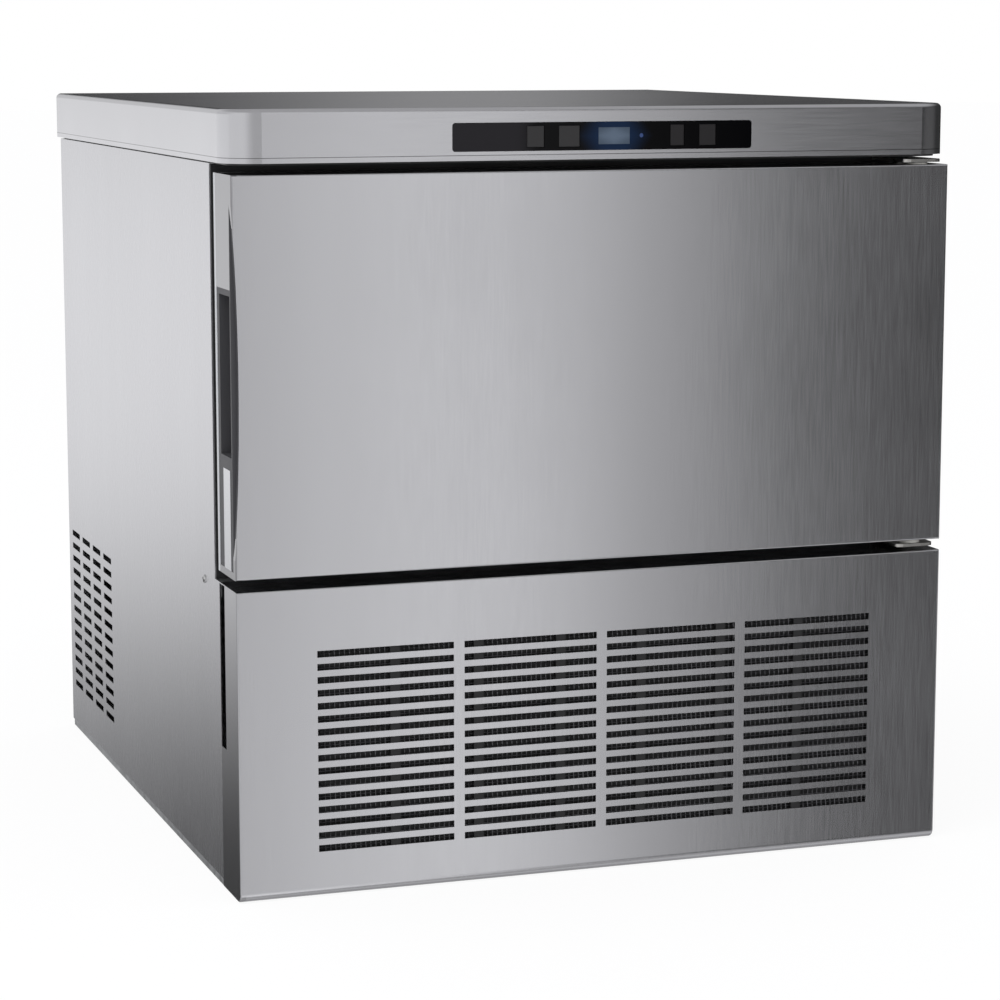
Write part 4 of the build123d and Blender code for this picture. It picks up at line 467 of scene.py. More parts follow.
@dataclass(frozen=True)
class WindowGlass:
    """Black gloss window with a painted paler reflection at its left end and a painted faint blue
    glow round its screen.
    """

    name: str
    glow_x: float
    glow_z: float
    glow_half: Span = (40.0 * MM, 64.0 * MM)
    # Where the painted reflection fades out towards the right, and its levels there.
    painted_reflection_end: Curve = (-100.0 * MM, -75.0 * MM, 1.0, 0.0)
    black: Colour = (0.0015, 0.0015, 0.002)
    pale: Colour = (0.018, 0.017, 0.020)
    # Base colour and emission of the painted glow round the screen.
    blue: Colour = (0.006, 0.014, 0.035)
    light: Colour = (0.001, 0.005, 0.016)
    specular: float = 0.10

    def build(self) -> bpy.types.Material:
        """Builds the material.

        Returns:
            The material.
        """
        shader = Shader(self.name)
        x, _, z = shader.axes(shader.place(centre=(self.glow_x, 0.0, self.glow_z)))
        reach = abs(x) / self.glow_half[0] + abs(z) / self.glow_half[1]
        # Painted glow: the screen's light painted into the glass's colour and emission.
        glow = shader.ramp(reach, 0.35, 1.05, 1.0, 0.0)
        dust = shader.noise(shader.place(), 60.0, 3.0, 0.6)
        # Painted reflection: the glass is paler towards its left end.
        ground = shader.mix(shader.ramp(x, *self.painted_reflection_end), self.black, self.pale)
        shader.set(base_color=shader.mix(glow, ground, self.blue), metallic=0.0,
                   roughness=dust * 0.05 + 0.07, specular_ior_level=self.specular,
                   emission_color=shader.mix(glow, BLACK, self.light), emission_strength=1.0)
        return shader.material


@dataclass(frozen=True)
class LitScreen:
    """Pale blue-grey screen, a little brighter in its middle."""

    name: str
    centre: Span
    half: Span = (16.0 * MM, 8.0 * MM)
    dim: Colour = (0.040, 0.060, 0.090)
    bright: Colour = (0.075, 0.105, 0.150)
    glow: float = 0.35

    def build(self) -> bpy.types.Material:
        """Builds the material.

        Returns:
            The material.
        """
        shader = Shader(self.name)
        x, _, z = shader.axes(shader.place(centre=(self.centre[0], 0.0, self.centre[1])))
        away = abs(x) / self.half[0] + abs(z) / self.half[1]
        tint = shader.mix(shader.ramp(away, 0.2, 1.9, 1.0, 0.0), self.dim, self.bright)
        grain = shader.noise(shader.place(), 1400.0, 1.0)
        shader.set(base_color=tint, metallic=0.0, roughness=grain * 0.1 + 0.25,
                   emission_color=tint, emission_strength=self.glow)
        return shader.material


@dataclass(frozen=True)
class Foam:
    """Sawn-looking rigid foam."""

    name: str
    colour: Colour = (0.80, 0.70, 0.45)
    cell_scale: float = 420.0
    cell_depth: float = 0.4 * MM
    darkest: float = 0.8

    def build(self) -> bpy.types.Material:
        """Builds the material.

        Returns:
            The material.
        """
        shader = Shader(self.name)
        cells = shader.cells(shader.place(), self.cell_scale, "Distance")
        colour = shader.mix(cells, shade(self.colour, self.darkest), self.colour)
        shader.set(base_color=colour, metallic=0.0, roughness=0.9)
        shader.bump(cells, self.cell_depth)
        return shader.material


class Rig:
    """Builds meshes and Geometry Nodes trees for the machine's pieces."""

    @staticmethod
    def mesh(name: str, shape: bmesh.types.BMesh) -> bpy.types.Object:
        """Turns a finished bmesh into an object at the origin.

        Args:
            name: The piece's name.
            shape: The mesh, in metres, which is freed.

        Returns:
            The new object.
        """
        bmesh.ops.recalc_face_normals(shape, faces=shape.faces)
        data = bpy.data.meshes.new(name)
        shape.to_mesh(data)
        shape.free()
        piece = bpy.data.objects.new(name, data)
        bpy.context.scene.collection.objects.link(piece)
        return piece

    @staticmethod
    def dress(
        piece: bpy.types.Object, material: bpy.types.Material, body: str, slot: str
    ) -> None:
        """Gives a piece its material and body.

        Args:
            piece: The finished piece.
            material: Its finish.
            body: The body it rides on.
            slot: The material slot it counts as; not used.
        """
        piece.data.materials.clear()
        piece.data.materials.append(material)
        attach(piece, body)
        LOG.info("%s: %d faces on %s", piece.name, len(piece.data.polygons), body)

    @staticmethod
    def settle(piece: bpy.types.Object) -> None:
        """Turns a piece and its modifiers into one plain mesh.

        Args:
            piece: The piece, whose modifiers go.
        """
        graph = bpy.context.evaluated_depsgraph_get()
        data = bpy.data.meshes.new_from_object(piece.evaluated_get(graph))
        piece.modifiers.clear()
        piece.data = data

    @staticmethod
    def smooth(piece: bpy.types.Object, angle: float = 35.0) -> None:
        """Shades a piece smooth, with its sharper edges kept.

        Args:
            piece: The piece.
            angle: From how many degrees on an edge stays sharp.
        """
        shape = bmesh.new()
        shape.from_mesh(piece.data)
        limit = math.radians(angle)
        for edge in shape.edges:
            edge.smooth = len(edge.link_faces) != 2 or edge.calc_face_angle(0.0) < limit
        for face in shape.faces:
            face.smooth = True
        shape.to_mesh(piece.data)
        shape.free()


class Repeat:
    """A Geometry Nodes tree that sets one shape at every point of a mesh."""

    def __init__(self, name: str, shape: bpy.types.Object, material: bpy.types.Material) -> None:
        """Builds the tree.

        Args:
            name: The tree's name.
            shape: The object that is repeated, its own origin at each point.
            material: The finish that the result takes.
        """
        self.tree = bpy.data.node_groups.new(name, "GeometryNodeTree")
        face = self.tree.interface
        face.new_socket("Geometry", in_out="INPUT", socket_type="NodeSocketGeometry")
        self.size = face.new_socket("Size", in_out="INPUT", socket_type="NodeSocketFloat")
        self.size.default_value = 1.0
        face.new_socket("Geometry", in_out="OUTPUT", socket_type="NodeSocketGeometry")
        nodes, links = self.tree.nodes, self.tree.links
        start = nodes.new("NodeGroupInput")
        end = nodes.new("NodeGroupOutput")
        source = nodes.new("GeometryNodeObjectInfo")
        source.inputs["Object"].default_value = shape
        points = nodes.new("GeometryNodeMeshToPoints")
        spread = nodes.new("GeometryNodeInstanceOnPoints")
        real = nodes.new("GeometryNodeRealizeInstances")
        finish = nodes.new("GeometryNodeSetMaterial")
        finish.inputs["Material"].default_value = material
        links.new(start.outputs["Geometry"], points.inputs["Mesh"])
        links.new(points.outputs["Points"], spread.inputs["Points"])
        links.new(source.outputs["Geometry"], spread.inputs["Instance"])
        links.new(start.outputs["Size"], spread.inputs["Scale"])
        links.new(spread.outputs["Instances"], real.inputs["Geometry"])
        links.new(real.outputs["Geometry"], finish.inputs["Geometry"])
        links.new(finish.outputs["Geometry"], end.inputs["Geometry"])

    def make(self, name: str, places: Iterable[Point], size: float = 1.0) -> bpy.types.Object:
        """Sets the shape at each place and returns one plain mesh.

        Args:
            name: The piece's name.
            places: Where each copy goes, in metres.
            size: The copies' scale.

        Returns:
            The new piece.
        """
        data = bpy.data.meshes.new(name)
        data.from_pydata([tuple(place) for place in places], [], [])
        piece = bpy.data.objects.new(name, data)
        bpy.context.scene.collection.objects.link(piece)
        modifier = piece.modifiers.new("repeat", "NODES")
        modifier.node_group = self.tree
        modifier[self.size.identifier] = size
        Rig.settle(piece)
        return piece


class Facing(Enum):
    """Which way a small part's head points, as its turns about X and Y in degrees."""

    LEFT = (0.0, -90.0)
    RIGHT = (0.0, 90.0)
    FRONT = (90.0, 0.0)
    REAR = (-90.0, 0.0)

    def turn(self) -> Matrix:
        """Gives the rotation that takes +Z to this direction."""
        about_x, about_y = (math.radians(angle) for angle in self.value)
        return Matrix.Rotation(about_x, 4, "X") @ Matrix.Rotation(about_y, 4, "Y")


@dataclass(frozen=True)
class ScrewHead:
    """A low domed head with a six-lobed socket."""

    radius: float = 4.2 * MM
    height: float = 1.9 * MM
    socket: float = 1.7 * MM
    depth: float = 1.1 * MM
    sides: int = 36
    lobes: int = 6
    rim_share: float = 0.25
    dome_turns: tuple[int, ...] = (0, 22, 42, 58)
    mouth: tuple[float, float, float] = (1.12, 0.98, 0.10)
    throat: tuple[float, float, float] = (1.0, 0.94, 0.14)

    def rings(self) -> list[tuple[float, float, float]]:
        """Lists the head's rings from the rim inwards.

        Returns:
            Radius, height and lobe share of each.
        """
        dome = []
        for degrees in self.dome_turns:
            turn = math.radians(degrees)
            rise = self.rim_share + (1.0 - self.rim_share) * math.sin(turn)
            dome.append((self.radius * math.cos(turn), self.height * rise, 0.0))
        edge = [(self.socket * wide, self.height * high, lobe)
                for wide, high, lobe in (self.mouth, self.throat)]
        floor = (self.socket, self.height - self.depth, self.throat[2])
        return [(self.radius, 0.0, 0.0), *dome, *edge, floor]

    def build(self, facing: Facing) -> bpy.types.Object:
        """Builds one head that points the given way, its foot on the origin.

        Args:
            facing: Which way the head points.

        Returns:
            The head, for Repeat to copy.
        """
        shape = bmesh.new()
        loops = []
        for radius, height, lobe in self.rings():
            loop = []
            for side in range(self.sides):
                angle = math.tau * side / self.sides
                reach = radius * (1.0 + lobe * math.cos(self.lobes * angle))
                corner = (reach * math.cos(angle), reach * math.sin(angle), height)
                loop.append(shape.verts.new(corner))
            loops.append(loop)
        bridge(shape, loops)
        bmesh.ops.transform(shape, matrix=facing.turn(), verts=shape.verts)
        return Rig.mesh(f"head_{facing.name.lower()}", shape)


@dataclass(frozen=True)
class Thread:
    """A screw thread cut round a stub, made as one helical ridge."""

    radius: float
    length: float
    pitch: float = 1.81 * MM
    crest: float = 0.45 * MM
    root_share: float = 0.4
    foot_share: float = 0.46
    steps: int = 40

    def build(self, name: str, foot: Point) -> bpy.types.Object:
        """Builds the ridge round a stub that points to the rear.

        Args:
            name: The piece's name.
            foot: Middle of the stub's foot, in metres.

        Returns:
            The ridge.
        """
        shape = bmesh.new()
        loops = []
        turns = self.length / self.pitch - 1.0
        root = self.radius - self.crest * self.root_share
        for step in range(int(turns * self.steps) + 1):
            done = step / self.steps
            angle = math.tau * done
            fade = max(0.0, min(1.0, done, turns - done))
            outline = ((root, -self.foot_share), (self.radius + self.crest * fade, 0.0),
                       (root, self.foot_share))
            loop = []
            for reach, part in outline:
                along = foot[1] + self.pitch * (0.5 + done + part)
                corner = (foot[0] + reach * math.cos(angle), along,
                          foot[2] + reach * math.sin(angle))
                loop.append(shape.verts.new(corner))
            loops.append(loop)
        bridge(shape, loops)
        return Rig.mesh(name, shape)


def bridge(shape: bmesh.types.BMesh, loops: Sequence[Sequence[bmesh.types.BMVert]]) -> None:
    """Skins rings of equally many corners and caps both ends.

    Args:
        shape: The mesh that holds them.
        loops: The rings, in order.
    """
    for lower, upper in zip(loops, loops[1:]):
        for index in range(len(lower)):
            follow = (index + 1) % len(lower)
            shape.faces.new((lower[index], lower[follow], upper[follow], upper[index]))
    shape.faces.new(loops[0])
    shape.faces.new(loops[-1])


def span(node: str) -> tuple[Vector, Vector]:
    """Gives a node's lowest and highest corners."""
    low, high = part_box(node)
    return Vector(low), Vector(high)


def shaded_left_flank(node: str, share: float) -> tuple[float, float, float]:
    """Finds the turned-back left edge of a front sheet, which gets painted shade.

    Args:
        node: The sheet.
        share: How much of the tint the painted shade leaves there.

    Returns:
        The painted flank shade that BrushedSteel takes.
    """
    low, _ = span(node)
    return low.x + FLANK_WIDTH, low.y + FLANK_START, share


def assign(nodes: Sequence[str], material: bpy.types.Material) -> None:
    """Gives CAD nodes a material.

    Args:
        nodes: The nodes' names.
        material: What they all take.
    """
    for name in nodes:
        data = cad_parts[name].data
        data.materials.clear()
        data.materials.append(material)


@dataclass
class Cabinet:
    """The outer sheets, base and frame."""

    side: BrushedSteel = BrushedSteel("stainless_side", Grain.ALONG_Z, roughness=0.26)
    # Share of the tint left by the painted shade on the front panel's left edge.
    flank_shade_share: float = 0.80
    zinc: Spangle = Spangle("zinc_sheet")
    frame_black: Moulding = Moulding("black_frame", (0.018, 0.018, 0.019), 0.4)
    socket_steel: PlainMetal = PlainMetal("zinc_steel", (0.62, 0.61, 0.58), 0.3)

    def build(self) -> None:
        """Dresses the cabinet's own nodes."""
        assign(["left_side_panel", "right_side_panel"], self.side.build())
        # Painted shade on the lower front panel's turned-back left edge.
        flank_shade = shaded_left_flank("lower_front_panel", self.flank_shade_share)
        steel = BrushedSteel("stainless_front", Grain.ALONG_Z, flank_shade=flank_shade)
        assign(["lower_front_panel"], steel.build())
        assign(["rear_panel", "base_pan", "machine_deck"], self.zinc.build())
        assign(["front_frame", "lid_base"], self.frame_black.build())
        assign(["leg_sockets", "hinge_brackets"], self.socket_steel.build())


@dataclass
class Lid:
    """The lid with its window, keys, screen and lamp."""

    roughness: float = 0.20
    # Height of the painted shade line above the lid's lower edge.
    hem_rise: float = 5.0 * MM
    key_plastic: Moulding = Moulding("key_cap", (0.030, 0.029, 0.030), 0.35)
    dark_plastic: Moulding = Moulding("dark_key_cap", (0.013, 0.0115, 0.013), 0.35)
    lamp: Moulding = Moulding("blue_lamp", (0.02, 0.06, 0.22), 0.2, coat=0.5)
    board: Moulding = Moulding("circuit_board", (0.02, 0.12, 0.05), 0.4)
    tray: Moulding = Moulding("control_tray", (0.03, 0.03, 0.032), 0.5)

    def build(self) -> None:
        """Dresses the lid's nodes."""
        screen_low, screen_high = span("display_module")
        middle = (screen_low + screen_high) / 2
        # The painted shade line runs along the lid's lower lip at this level.
        hem = span("top_cover")[0].z + self.hem_rise
        steel = BrushedSteel("stainless_lid", Grain.ALONG_X, roughness=self.roughness, hem=hem)
        assign(["top_cover"], steel.build())
        assign(["display_window"], WindowGlass("window_glass", middle.x, middle.z).build())
        assign(["display_module"], LitScreen("lit_screen", (middle.x, middle.z)).build())
        assign(["key_1", "key_2"], self.key_plastic.build())
        assign(["key_3", "key_4"], self.dark_plastic.build())
        assign(["status_lamp"], self.lamp.build())
        assign(["control_board"], self.board.build())
        assign(["control_housing"], self.tray.build())


@dataclass
class Door:
    """The hinged door."""

    # Share of the tint left by the painted shade on the door skin's left edge.
    flank_shade_share: float = 0.50
    scoop_depth: float = 5.0 * MM
    scoop_width: float = 9.0 * MM
    scoop_head: float = 28.0 * MM
    scoop_foot: float = 19.0 * MM
    scoop_steps: int = 32
    sheet: float = 1.2 * MM
    lining: float = 1.0 * MM
    lining_inset: float = 0.2 * MM
    trim: BrushedSteel = BrushedSteel("grip_trim", Grain.ALONG_Z, (0.75, 0.76, 0.78), 0.25)
    liner: Moulding = Moulding("white_liner", (0.74, 0.76, 0.78), 0.35)
    grip: Moulding = Moulding("grip_grey", (0.085, 0.085, 0.092), 0.5)
    seal: Moulding = Moulding("seal_rubber", (0.012, 0.012, 0.012), 0.6)
    foam: Foam = Foam("foam_fill")
    bush: Moulding = Moulding("bush_nylon", (0.70, 0.69, 0.64), 0.4)

    def build(self) -> None:
        """Dresses the door's nodes and lines its scooped edge."""
        # Painted shade on the door skin's turned-back left edge.
        flank_shade = shaded_left_flank("door_skin", self.flank_shade_share)
        steel = BrushedSteel("stainless_door", Grain.ALONG_Z, flank_shade=flank_shade)
        grip = self.grip.build()
        assign(["door_skin"], steel.build())
        assign(["door_grip_trim"], self.trim.build())
        assign(["door_liner", "bin_liner", "water_tank", "ice_chamber"], self.liner.build())
        assign(["door_grip_housing"], grip)
        Rig.dress(self.scoop_lining(), grip, "door", "black_plastic")
        assign(["door_gasket", "compressor_mounts"], self.seal.build())
        assign(["door_insulation", "bin_insulation"], self.foam.build())
        assign(["door_bushes"], self.bush.build())

    def scoop_lining(self) -> bpy.types.Object:
        """Builds the angle strip behind the hollow in the door's left edge.

        Its long leg follows the arc of the sheet's cut edge, and its short leg closes the hollow
        towards the rear.

        Returns:
            The strip.
        """
        low, high = span("door_skin")
        foot, head = low.z + self.scoop_foot, high.z - self.scoop_head
        half_height = (head - foot) / 2
        radius = (half_height ** 2 + self.scoop_depth ** 2) / (2 * self.scoop_depth)
        front, rear = low.y + self.sheet, low.y + self.scoop_width
        shape = bmesh.new()
        rings = []
        for step in range(self.scoop_steps + 1):
            rise = half_height * (2 * step / self.scoop_steps - 1)
            depth = math.sqrt(radius ** 2 - rise ** 2) - (radius - self.scoop_depth)
            inner, outer = low.x + max(depth, self.lining), low.x + self.lining_inset
            outline = [(inner, front), (inner + self.lining, front), (inner + self.lining, rear),
                       (outer, rear), (outer, rear - self.lining), (inner, rear - self.lining)]
            height = (foot + head) / 2 + rise
            rings.append([shape.verts.new((x, y, height)) for x, y in outline])
        bridge(shape, rings)
        return Rig.mesh("scoop_lining", shape)


@dataclass
class Machinery:
    """The refrigeration set, the water parts and the ice maker."""

    copper: PlainMetal = PlainMetal("copper_pipe", (0.72, 0.36, 0.22), 0.25)
    tin: PlainMetal = PlainMetal("tinned_copper", (0.72, 0.72, 0.69), 0.22)
    fins: PlainMetal = PlainMetal("aluminium_fins", (0.70, 0.71, 0.72), 0.4)
    paint: PlainMetal = PlainMetal("black_paint", (0.015, 0.015, 0.016), 0.35, 0.0)
    black: Moulding = Moulding("black_moulding", (0.020, 0.020, 0.021), 0.5)
    nylon: Moulding = Moulding("nylon_parts", (0.66, 0.66, 0.62), 0.4)
    hose: Moulding = Moulding("grey_hose", (0.45, 0.47, 0.48), 0.5)
    flap: Moulding = Moulding("milky_flap", (0.62, 0.68, 0.72), 0.25, coat=0.3)

    def build(self) -> None:
        """Dresses the machinery's nodes."""
        assign(["discharge_line", "suction_line", "liquid_line", "condenser_outlet",
                "evaporator_coil", "filter_drier"], self.copper.build())
        assign(["evaporator"], self.tin.build())
        assign(["condenser", "fan_blades"], self.fins.build())
        assign(["compressor", "fan_motor", "water_pump"], self.paint.build())
        assign(["fan_shroud", "air_filter", "junction_box", "cable_gland", "bin_drain",
                "drain_spigot"], self.black.build())
        assign(["spray_manifold", "ice_slide", "water_inlet_valve"], self.nylon.build())
        assign(["drain_hose", "supply_hose", "pump_hose"], self.hose.build())
        assign(["ice_curtain"], self.flap.build())


@dataclass
class Fasteners:
    """Screw heads on the sheets and hinges, and the thread of the water inlet."""

    steel: PlainMetal = PlainMetal("screw_steel", (0.60, 0.60, 0.60), 0.25)
    nylon: PlainMetal = PlainMetal("inlet_nylon", (0.60, 0.60, 0.56), 0.4, 0.0)
    head: ScrewHead = ScrewHead()
    side_back: float = 59.0 * MM
    side_drop: float = 7.0 * MM
    rear_inset: float = 12.0 * MM
    lid_drop: float = 30.0 * MM
    lid_places: tuple[float, ...] = (-0.81, -0.27, 0.27, 0.81)
    frame_thick: float = 8.0 * MM
    leg_thick: float = 3.0 * MM
    leg_inset: float = 7.9 * MM
    leg_spread: float = 5.5 * MM
    leg_reach: float = 26.0 * MM
    stub_x: float = 300.0 * MM
    stub_z: float = 215.0 * MM
    stub_length: float = 15.6 * MM
    stub_radius: float = 13.0 * MM

    def row(
        self, name: str, facing: Facing, places: Sequence[Point], finish: bpy.types.Material
    ) -> None:
        """Sets heads at the given places and lets them ride on the cabinet.

        Args:
            name: The piece's name.
            facing: Which way the heads point.
            places: Where each stands, in metres.
            finish: Their material.
        """
        source = self.head.build(facing)
        piece = Repeat(f"{name}_nodes", source, finish).make(name, places)
        bpy.data.objects.remove(source)
        Rig.smooth(piece)
        Rig.dress(piece, finish, "cabinet", "zinc_steel")

    def side_places(self) -> tuple[Point, Point]:
        """Places the screws of the side panels.

        Returns:
            The left one and the right one.
        """
        panel_low, _ = span("left_side_panel")
        _, front_high = span("lower_front_panel")
        y, z = front_high.y + self.side_back, front_high.z - self.side_drop
        return (panel_low.x, y, z), (-panel_low.x, y, z)

    def rear_places(self) -> list[Point]:
        """Places the screws of the rear panel and of the lid's rear edge.

        Returns:
            Their places.
        """
        low, high = span("rear_panel")
        _, lid_high = span("top_cover")
        edge = high.x - self.rear_inset
        levels = (low.z + self.rear_inset, (low.z + high.z) / 2, high.z - self.rear_inset)
        places = [(side * edge, high.y, level) for side in (-1, 1) for level in levels]
        places.append((0.0, high.y, levels[0]))
        return places + [(part * lid_high.x, lid_high.y, lid_high.z - self.lid_drop)
                         for part in self.lid_places]

    def hinge_places(self) -> list[Point]:
        """Places the screws of the hinge brackets' legs, behind the frame.

        Returns:
            Their places.
        """
        low, high = span("hinge_brackets")
        _, frame_high = span("front_frame")
        leg_y = frame_high.y - self.frame_thick - self.leg_thick
        middles = (low.z + self.leg_reach / 2, high.z - self.leg_reach / 2)
        return [(high.x - self.leg_inset, leg_y, middle + self.leg_spread * part)
                for middle in middles for part in (-1, 1)]

    def build(self) -> None:
        """Builds all the rows and the thread."""
        finish = self.steel.build()
        left, right = self.side_places()
        self.row("screws_left", Facing.LEFT, [left], finish)
        self.row("screws_right", Facing.RIGHT, [right], finish)
        self.row("screws_rear", Facing.REAR, self.rear_places(), finish)
        self.row("screws_hinge", Facing.FRONT, self.hinge_places(), finish)
        _, stub_high = span("water_inlet_valve")
        foot = (self.stub_x, stub_high.y - self.stub_length, self.stub_z)
        thread = Thread(self.stub_radius, self.stub_length).build("inlet_thread", foot)
        Rig.dress(thread, self.nylon.build(), "cabinet", "nylon")


@dataclass
class FilterMesh:
    """The woven wire in the bays of the air filter."""

    wire: float = 0.45 * MM
    pitch: float = 5.0 * MM
    wave: float = 0.9 * MM
    segments: int = 2
    rail: float = 10.0 * MM
    bays: int = 7
    metal: PlainMetal = PlainMetal("filter_wire", (0.20, 0.20, 0.21), 0.4)

    def strand(self, name: str, length: float, upright: bool) -> bpy.types.Object:
        """Builds one waved wire, centred on the origin.

        Args:
            name: The object's name.
            length: The wire's length, in metres.
            upright: Whether it stands, or lies across.

        Returns:
            The wire, for Repeat to copy.
        """
        shape = bmesh.new()
        loops = []
        count = max(2, round(length / self.pitch)) * self.segments
        side = -0.5 if upright else 0.5
        corners = ((self.wire, 0.0), (0.0, self.wire), (-self.wire, 0.0), (0.0, -self.wire))
        for step in range(count + 1):
            along = length * (step / count - 0.5)
            sway = self.wave * math.cos(math.pi * step / self.segments) * side
            loops.append([shape.verts.new(
                (across, sway + out, along) if upright else (along, sway + out, across)
            ) for across, out in corners])
        bridge(shape, loops)
        return Rig.mesh(name, shape)

    def build(self) -> None:
        """Weaves the wires into every bay."""
        finish = self.metal.build()
        low, high = span("air_filter")
        bay = (high.x - low.x - self.rail * (self.bays + 1)) / self.bays
        first = low.x + self.rail + bay / 2
        middles = [first + index * (bay + self.rail) for index in range(self.bays)]
        depth = (low.y + high.y) / 2 - self.wave
        tall = high.z - low.z - 2 * self.rail
        centre = (low.z + high.z) / 2
        rows = int(tall / self.pitch)
        columns = int(bay / self.pitch)
        across = [(x, depth, centre + self.pitch * (row - (rows - 1) / 2))
                  for x in middles for row in range(rows)]
        upright = [(x + self.pitch * (column - (columns - 1) / 2), depth, centre)
                   for x in middles for column in range(columns)]
        weaves = (("filter_weft", bay, False, across), ("filter_warp", tall, True, upright))
        for name, length, stands, places in weaves:
            source = self.strand(f"{name}_wire", length, stands)
            piece = Repeat(f"{name}_nodes", source, finish).make(name, places)
            bpy.data.objects.remove(source)
            Rig.dress(piece, finish, "cabinet", "black_plastic")


@dataclass(frozen=True)
class Softbox:
    """A rectangular lamp that metal doesn't mirror."""

    name: str
    place: Point
    aim: Point
    size: Span
    power: float

    def build(self) -> None:
        """Hangs the lamp at its place, turned to its aim."""
        data = bpy.data.lights.new(self.name, "AREA")
        data.shape = "RECTANGLE"
        data.size, data.size_y = self.size
        data.energy = self.power
        lamp = bpy.data.objects.new(self.name, data)
        turn = (Vector(self.aim) - Vector(self.place)).to_track_quat("-Z", "Y")
        lamp.matrix_world = Matrix.Translation(self.place) @ turn.to_matrix().to_4x4()
        lamp.visible_glossy = False
        bpy.context.scene.collection.objects.link(lamp)


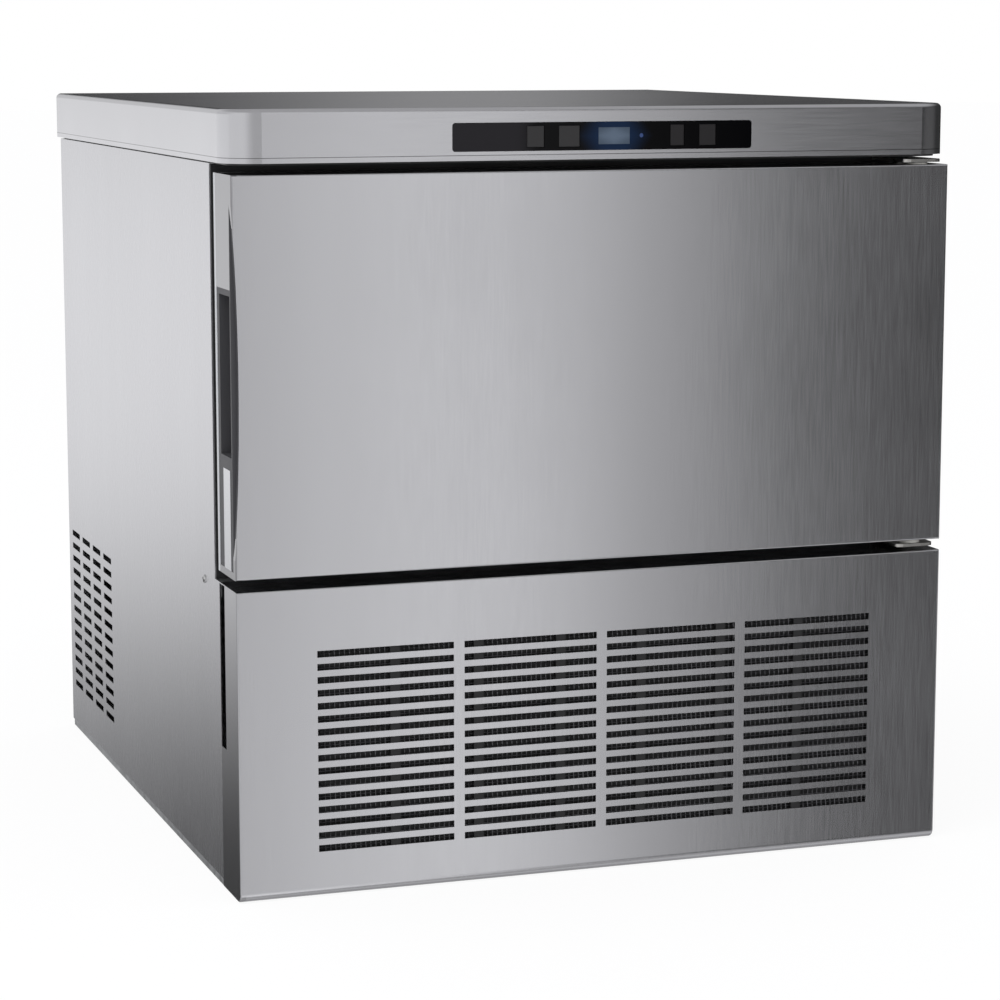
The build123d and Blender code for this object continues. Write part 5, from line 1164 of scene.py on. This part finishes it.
@dataclass
class Studio:
    """The camera, the floor, the world and the lamp above, which draws the soft shadow.

    Each Curve is a smooth step: where it starts and ends, and its level at each.
    """

    camera_at: Point = (-1.0423, -3.0915, 0.8147)
    yaw: float = 19.262
    pitch: float = 8.803
    lens: float = 108.1
    sensor: float = 36.0
    clip_end: float = 200.0
    floor_half: float = 30.0
    floor_colour: Colour = (0.86, 0.86, 0.87)
    floor_share: float = 0.84
    floor_glow: float = 1.06
    tone: Colour = (0.985, 0.985, 1.0)
    even_level: float = 0.75
    least_depth: float = 0.02
    screen_near: Curve = (0.25, 0.33, 0.49, 1.13)
    screen_far: Curve = (0.333, 0.467, 1.0, 0.02)
    screen_foot: Curve = (-1.6, -0.5, 0.45, 1.0)
    right_wall: Curve = (0.62, 1.0, 0.0, 0.50)
    right_wall_head: Curve = (-0.22, -0.10, 1.0, 0.12)
    left_wall: Curve = (-0.9, -0.1, 0.27, 0.0)
    wall_foot: Curve = (-0.280, -0.126, 0.022, 0.92)
    wall_head: Curve = (-0.07, 0.05, 1.0, 0.68)
    wall_end: Curve = (-0.05, 0.12, 1.0, 0.0)
    patch_near: Curve = (0.20, 0.34, 0.0, 0.235)
    patch_far: Curve = (0.35, 0.45, 1.0, 0.0)
    rear_level: float = 0.034
    rear_share: Curve = (-0.35, 0.15, 0.0, 1.0)
    sky_foot: Curve = (0.35, 0.80, 0.0, 1.0)
    sky_level: float = 0.45
    floor_foot: Curve = (-0.90, -0.45, 0.35, 0.0)
    lamp: Softbox = Softbox("top_box", (-1.2, -1.6, 3.6), (0.0, 0.0, 0.4), (2.2, 2.2), 26.0)

    def build(self) -> None:
        """Sets the whole studio up."""
        self.camera()
        self.floor()
        self.world()
        self.lamp.build()
        bpy.context.scene.view_settings.view_transform = "Standard"

    def camera(self) -> None:
        """Places the camera at the photograph's angle."""
        data = bpy.data.cameras.new("camera")
        data.lens = self.lens
        data.sensor_width = self.sensor
        data.sensor_fit = "HORIZONTAL"
        data.clip_end = self.clip_end
        camera = bpy.data.objects.new("camera", data)
        camera.location = self.camera_at
        camera.rotation_euler = (math.radians(90 - self.pitch), 0.0, math.radians(-self.yaw))
        bpy.context.scene.collection.objects.link(camera)
        bpy.context.scene.camera = camera

    def floor(self) -> None:
        """Lays the pale floor, which shows as white and keeps a soft shadow."""
        shape = bmesh.new()
        bmesh.ops.create_grid(shape, x_segments=1, y_segments=1, size=self.floor_half)
        floor = Rig.mesh("floor", shape)
        material = bpy.data.materials.new("pale_floor")
        graph = Graph(material, "ShaderNodeOutputMaterial")
        matt = graph.add("ShaderNodeBsdfDiffuse", None, {"Color": (*self.floor_colour, 1.0)})
        glow = graph.light("ShaderNodeEmission", WHITE, self.floor_glow)
        clear = graph.add("ShaderNodeBsdfTransparent")
        pale = graph.blend(graph.ray("Is Camera Ray") * self.floor_share, matt, glow)
        graph.finish(graph.blend(graph.ray("Is Glossy Ray"), pale, clear))
        floor.data.materials.append(material)

    def world(self) -> None:
        """Shows white behind the object, and lights it like a plain studio."""
        world = bpy.data.worlds.new("studio_world")
        bpy.context.scene.world = world
        graph = Graph(world, "ShaderNodeOutputWorld")
        kind = "ShaderNodeBackground"
        mirror = graph.light(kind, self.tone, self.mirrored(graph))
        even = graph.light(kind, self.tone, self.even_level)
        white = graph.light(kind, WHITE, 1.0)
        lit = graph.blend(graph.ray("Is Glossy Ray"), even, mirror)
        through = graph.blend(graph.ray("Is Transmission Ray"), lit, white)
        graph.finish(graph.blend(graph.ray("Is Camera Ray"), through, white))

    def mirrored(self, graph: Graph) -> Socket:
        """Gives the level that metal and gloss see in each direction.

        They see a tall pale screen ahead, a low wall to its right, a pale wall with a dim patch
        beside it behind, a grey sky and floor, and darker walls elsewhere.

        Args:
            graph: The world's tree.

        Returns:
            The level.
        """
        x, y, z = graph.axes(graph.add("ShaderNodeTexCoord", result="Generated"))
        ahead = (0.0 - y).at_least(self.least_depth)
        slope, across = x / ahead, x / y.at_least(self.least_depth)
        rise = z / (1.0001 - z * z).root()
        screen = graph.ramp(slope, *self.screen_near) * graph.ramp(slope, *self.screen_far)
        right = graph.ramp(slope, *self.right_wall) * graph.ramp(rise, *self.right_wall_head)
        sides = right + graph.ramp(slope, *self.left_wall)
        front = (screen + sides) * graph.ramp(z / ahead, *self.screen_foot)
        wall = graph.ramp(rise, *self.wall_foot) * graph.ramp(rise, *self.wall_head)
        patch = graph.ramp(across, *self.patch_near) * graph.ramp(across, *self.patch_far)
        rear = wall * graph.ramp(across, *self.wall_end) + patch + self.rear_level
        share = graph.ramp(y, *self.rear_share)
        above = graph.ramp(z, *self.sky_foot)
        around = (front * (1.0 - share) + rear * share) * (1.0 - above)
        return around + above * self.sky_level + graph.ramp(rise, *self.floor_foot)


def main() -> None:
    """Builds the machine's looks and its studio."""
    logging.basicConfig(level=logging.INFO, format="%(name)s %(message)s")
    for part in (Cabinet(), Lid(), Door(), Machinery(), Fasteners(), FilterMesh(), Studio()):
        part.build()
        LOG.info("built %s", type(part).__name__)


if __name__ == "__main__":
    main()
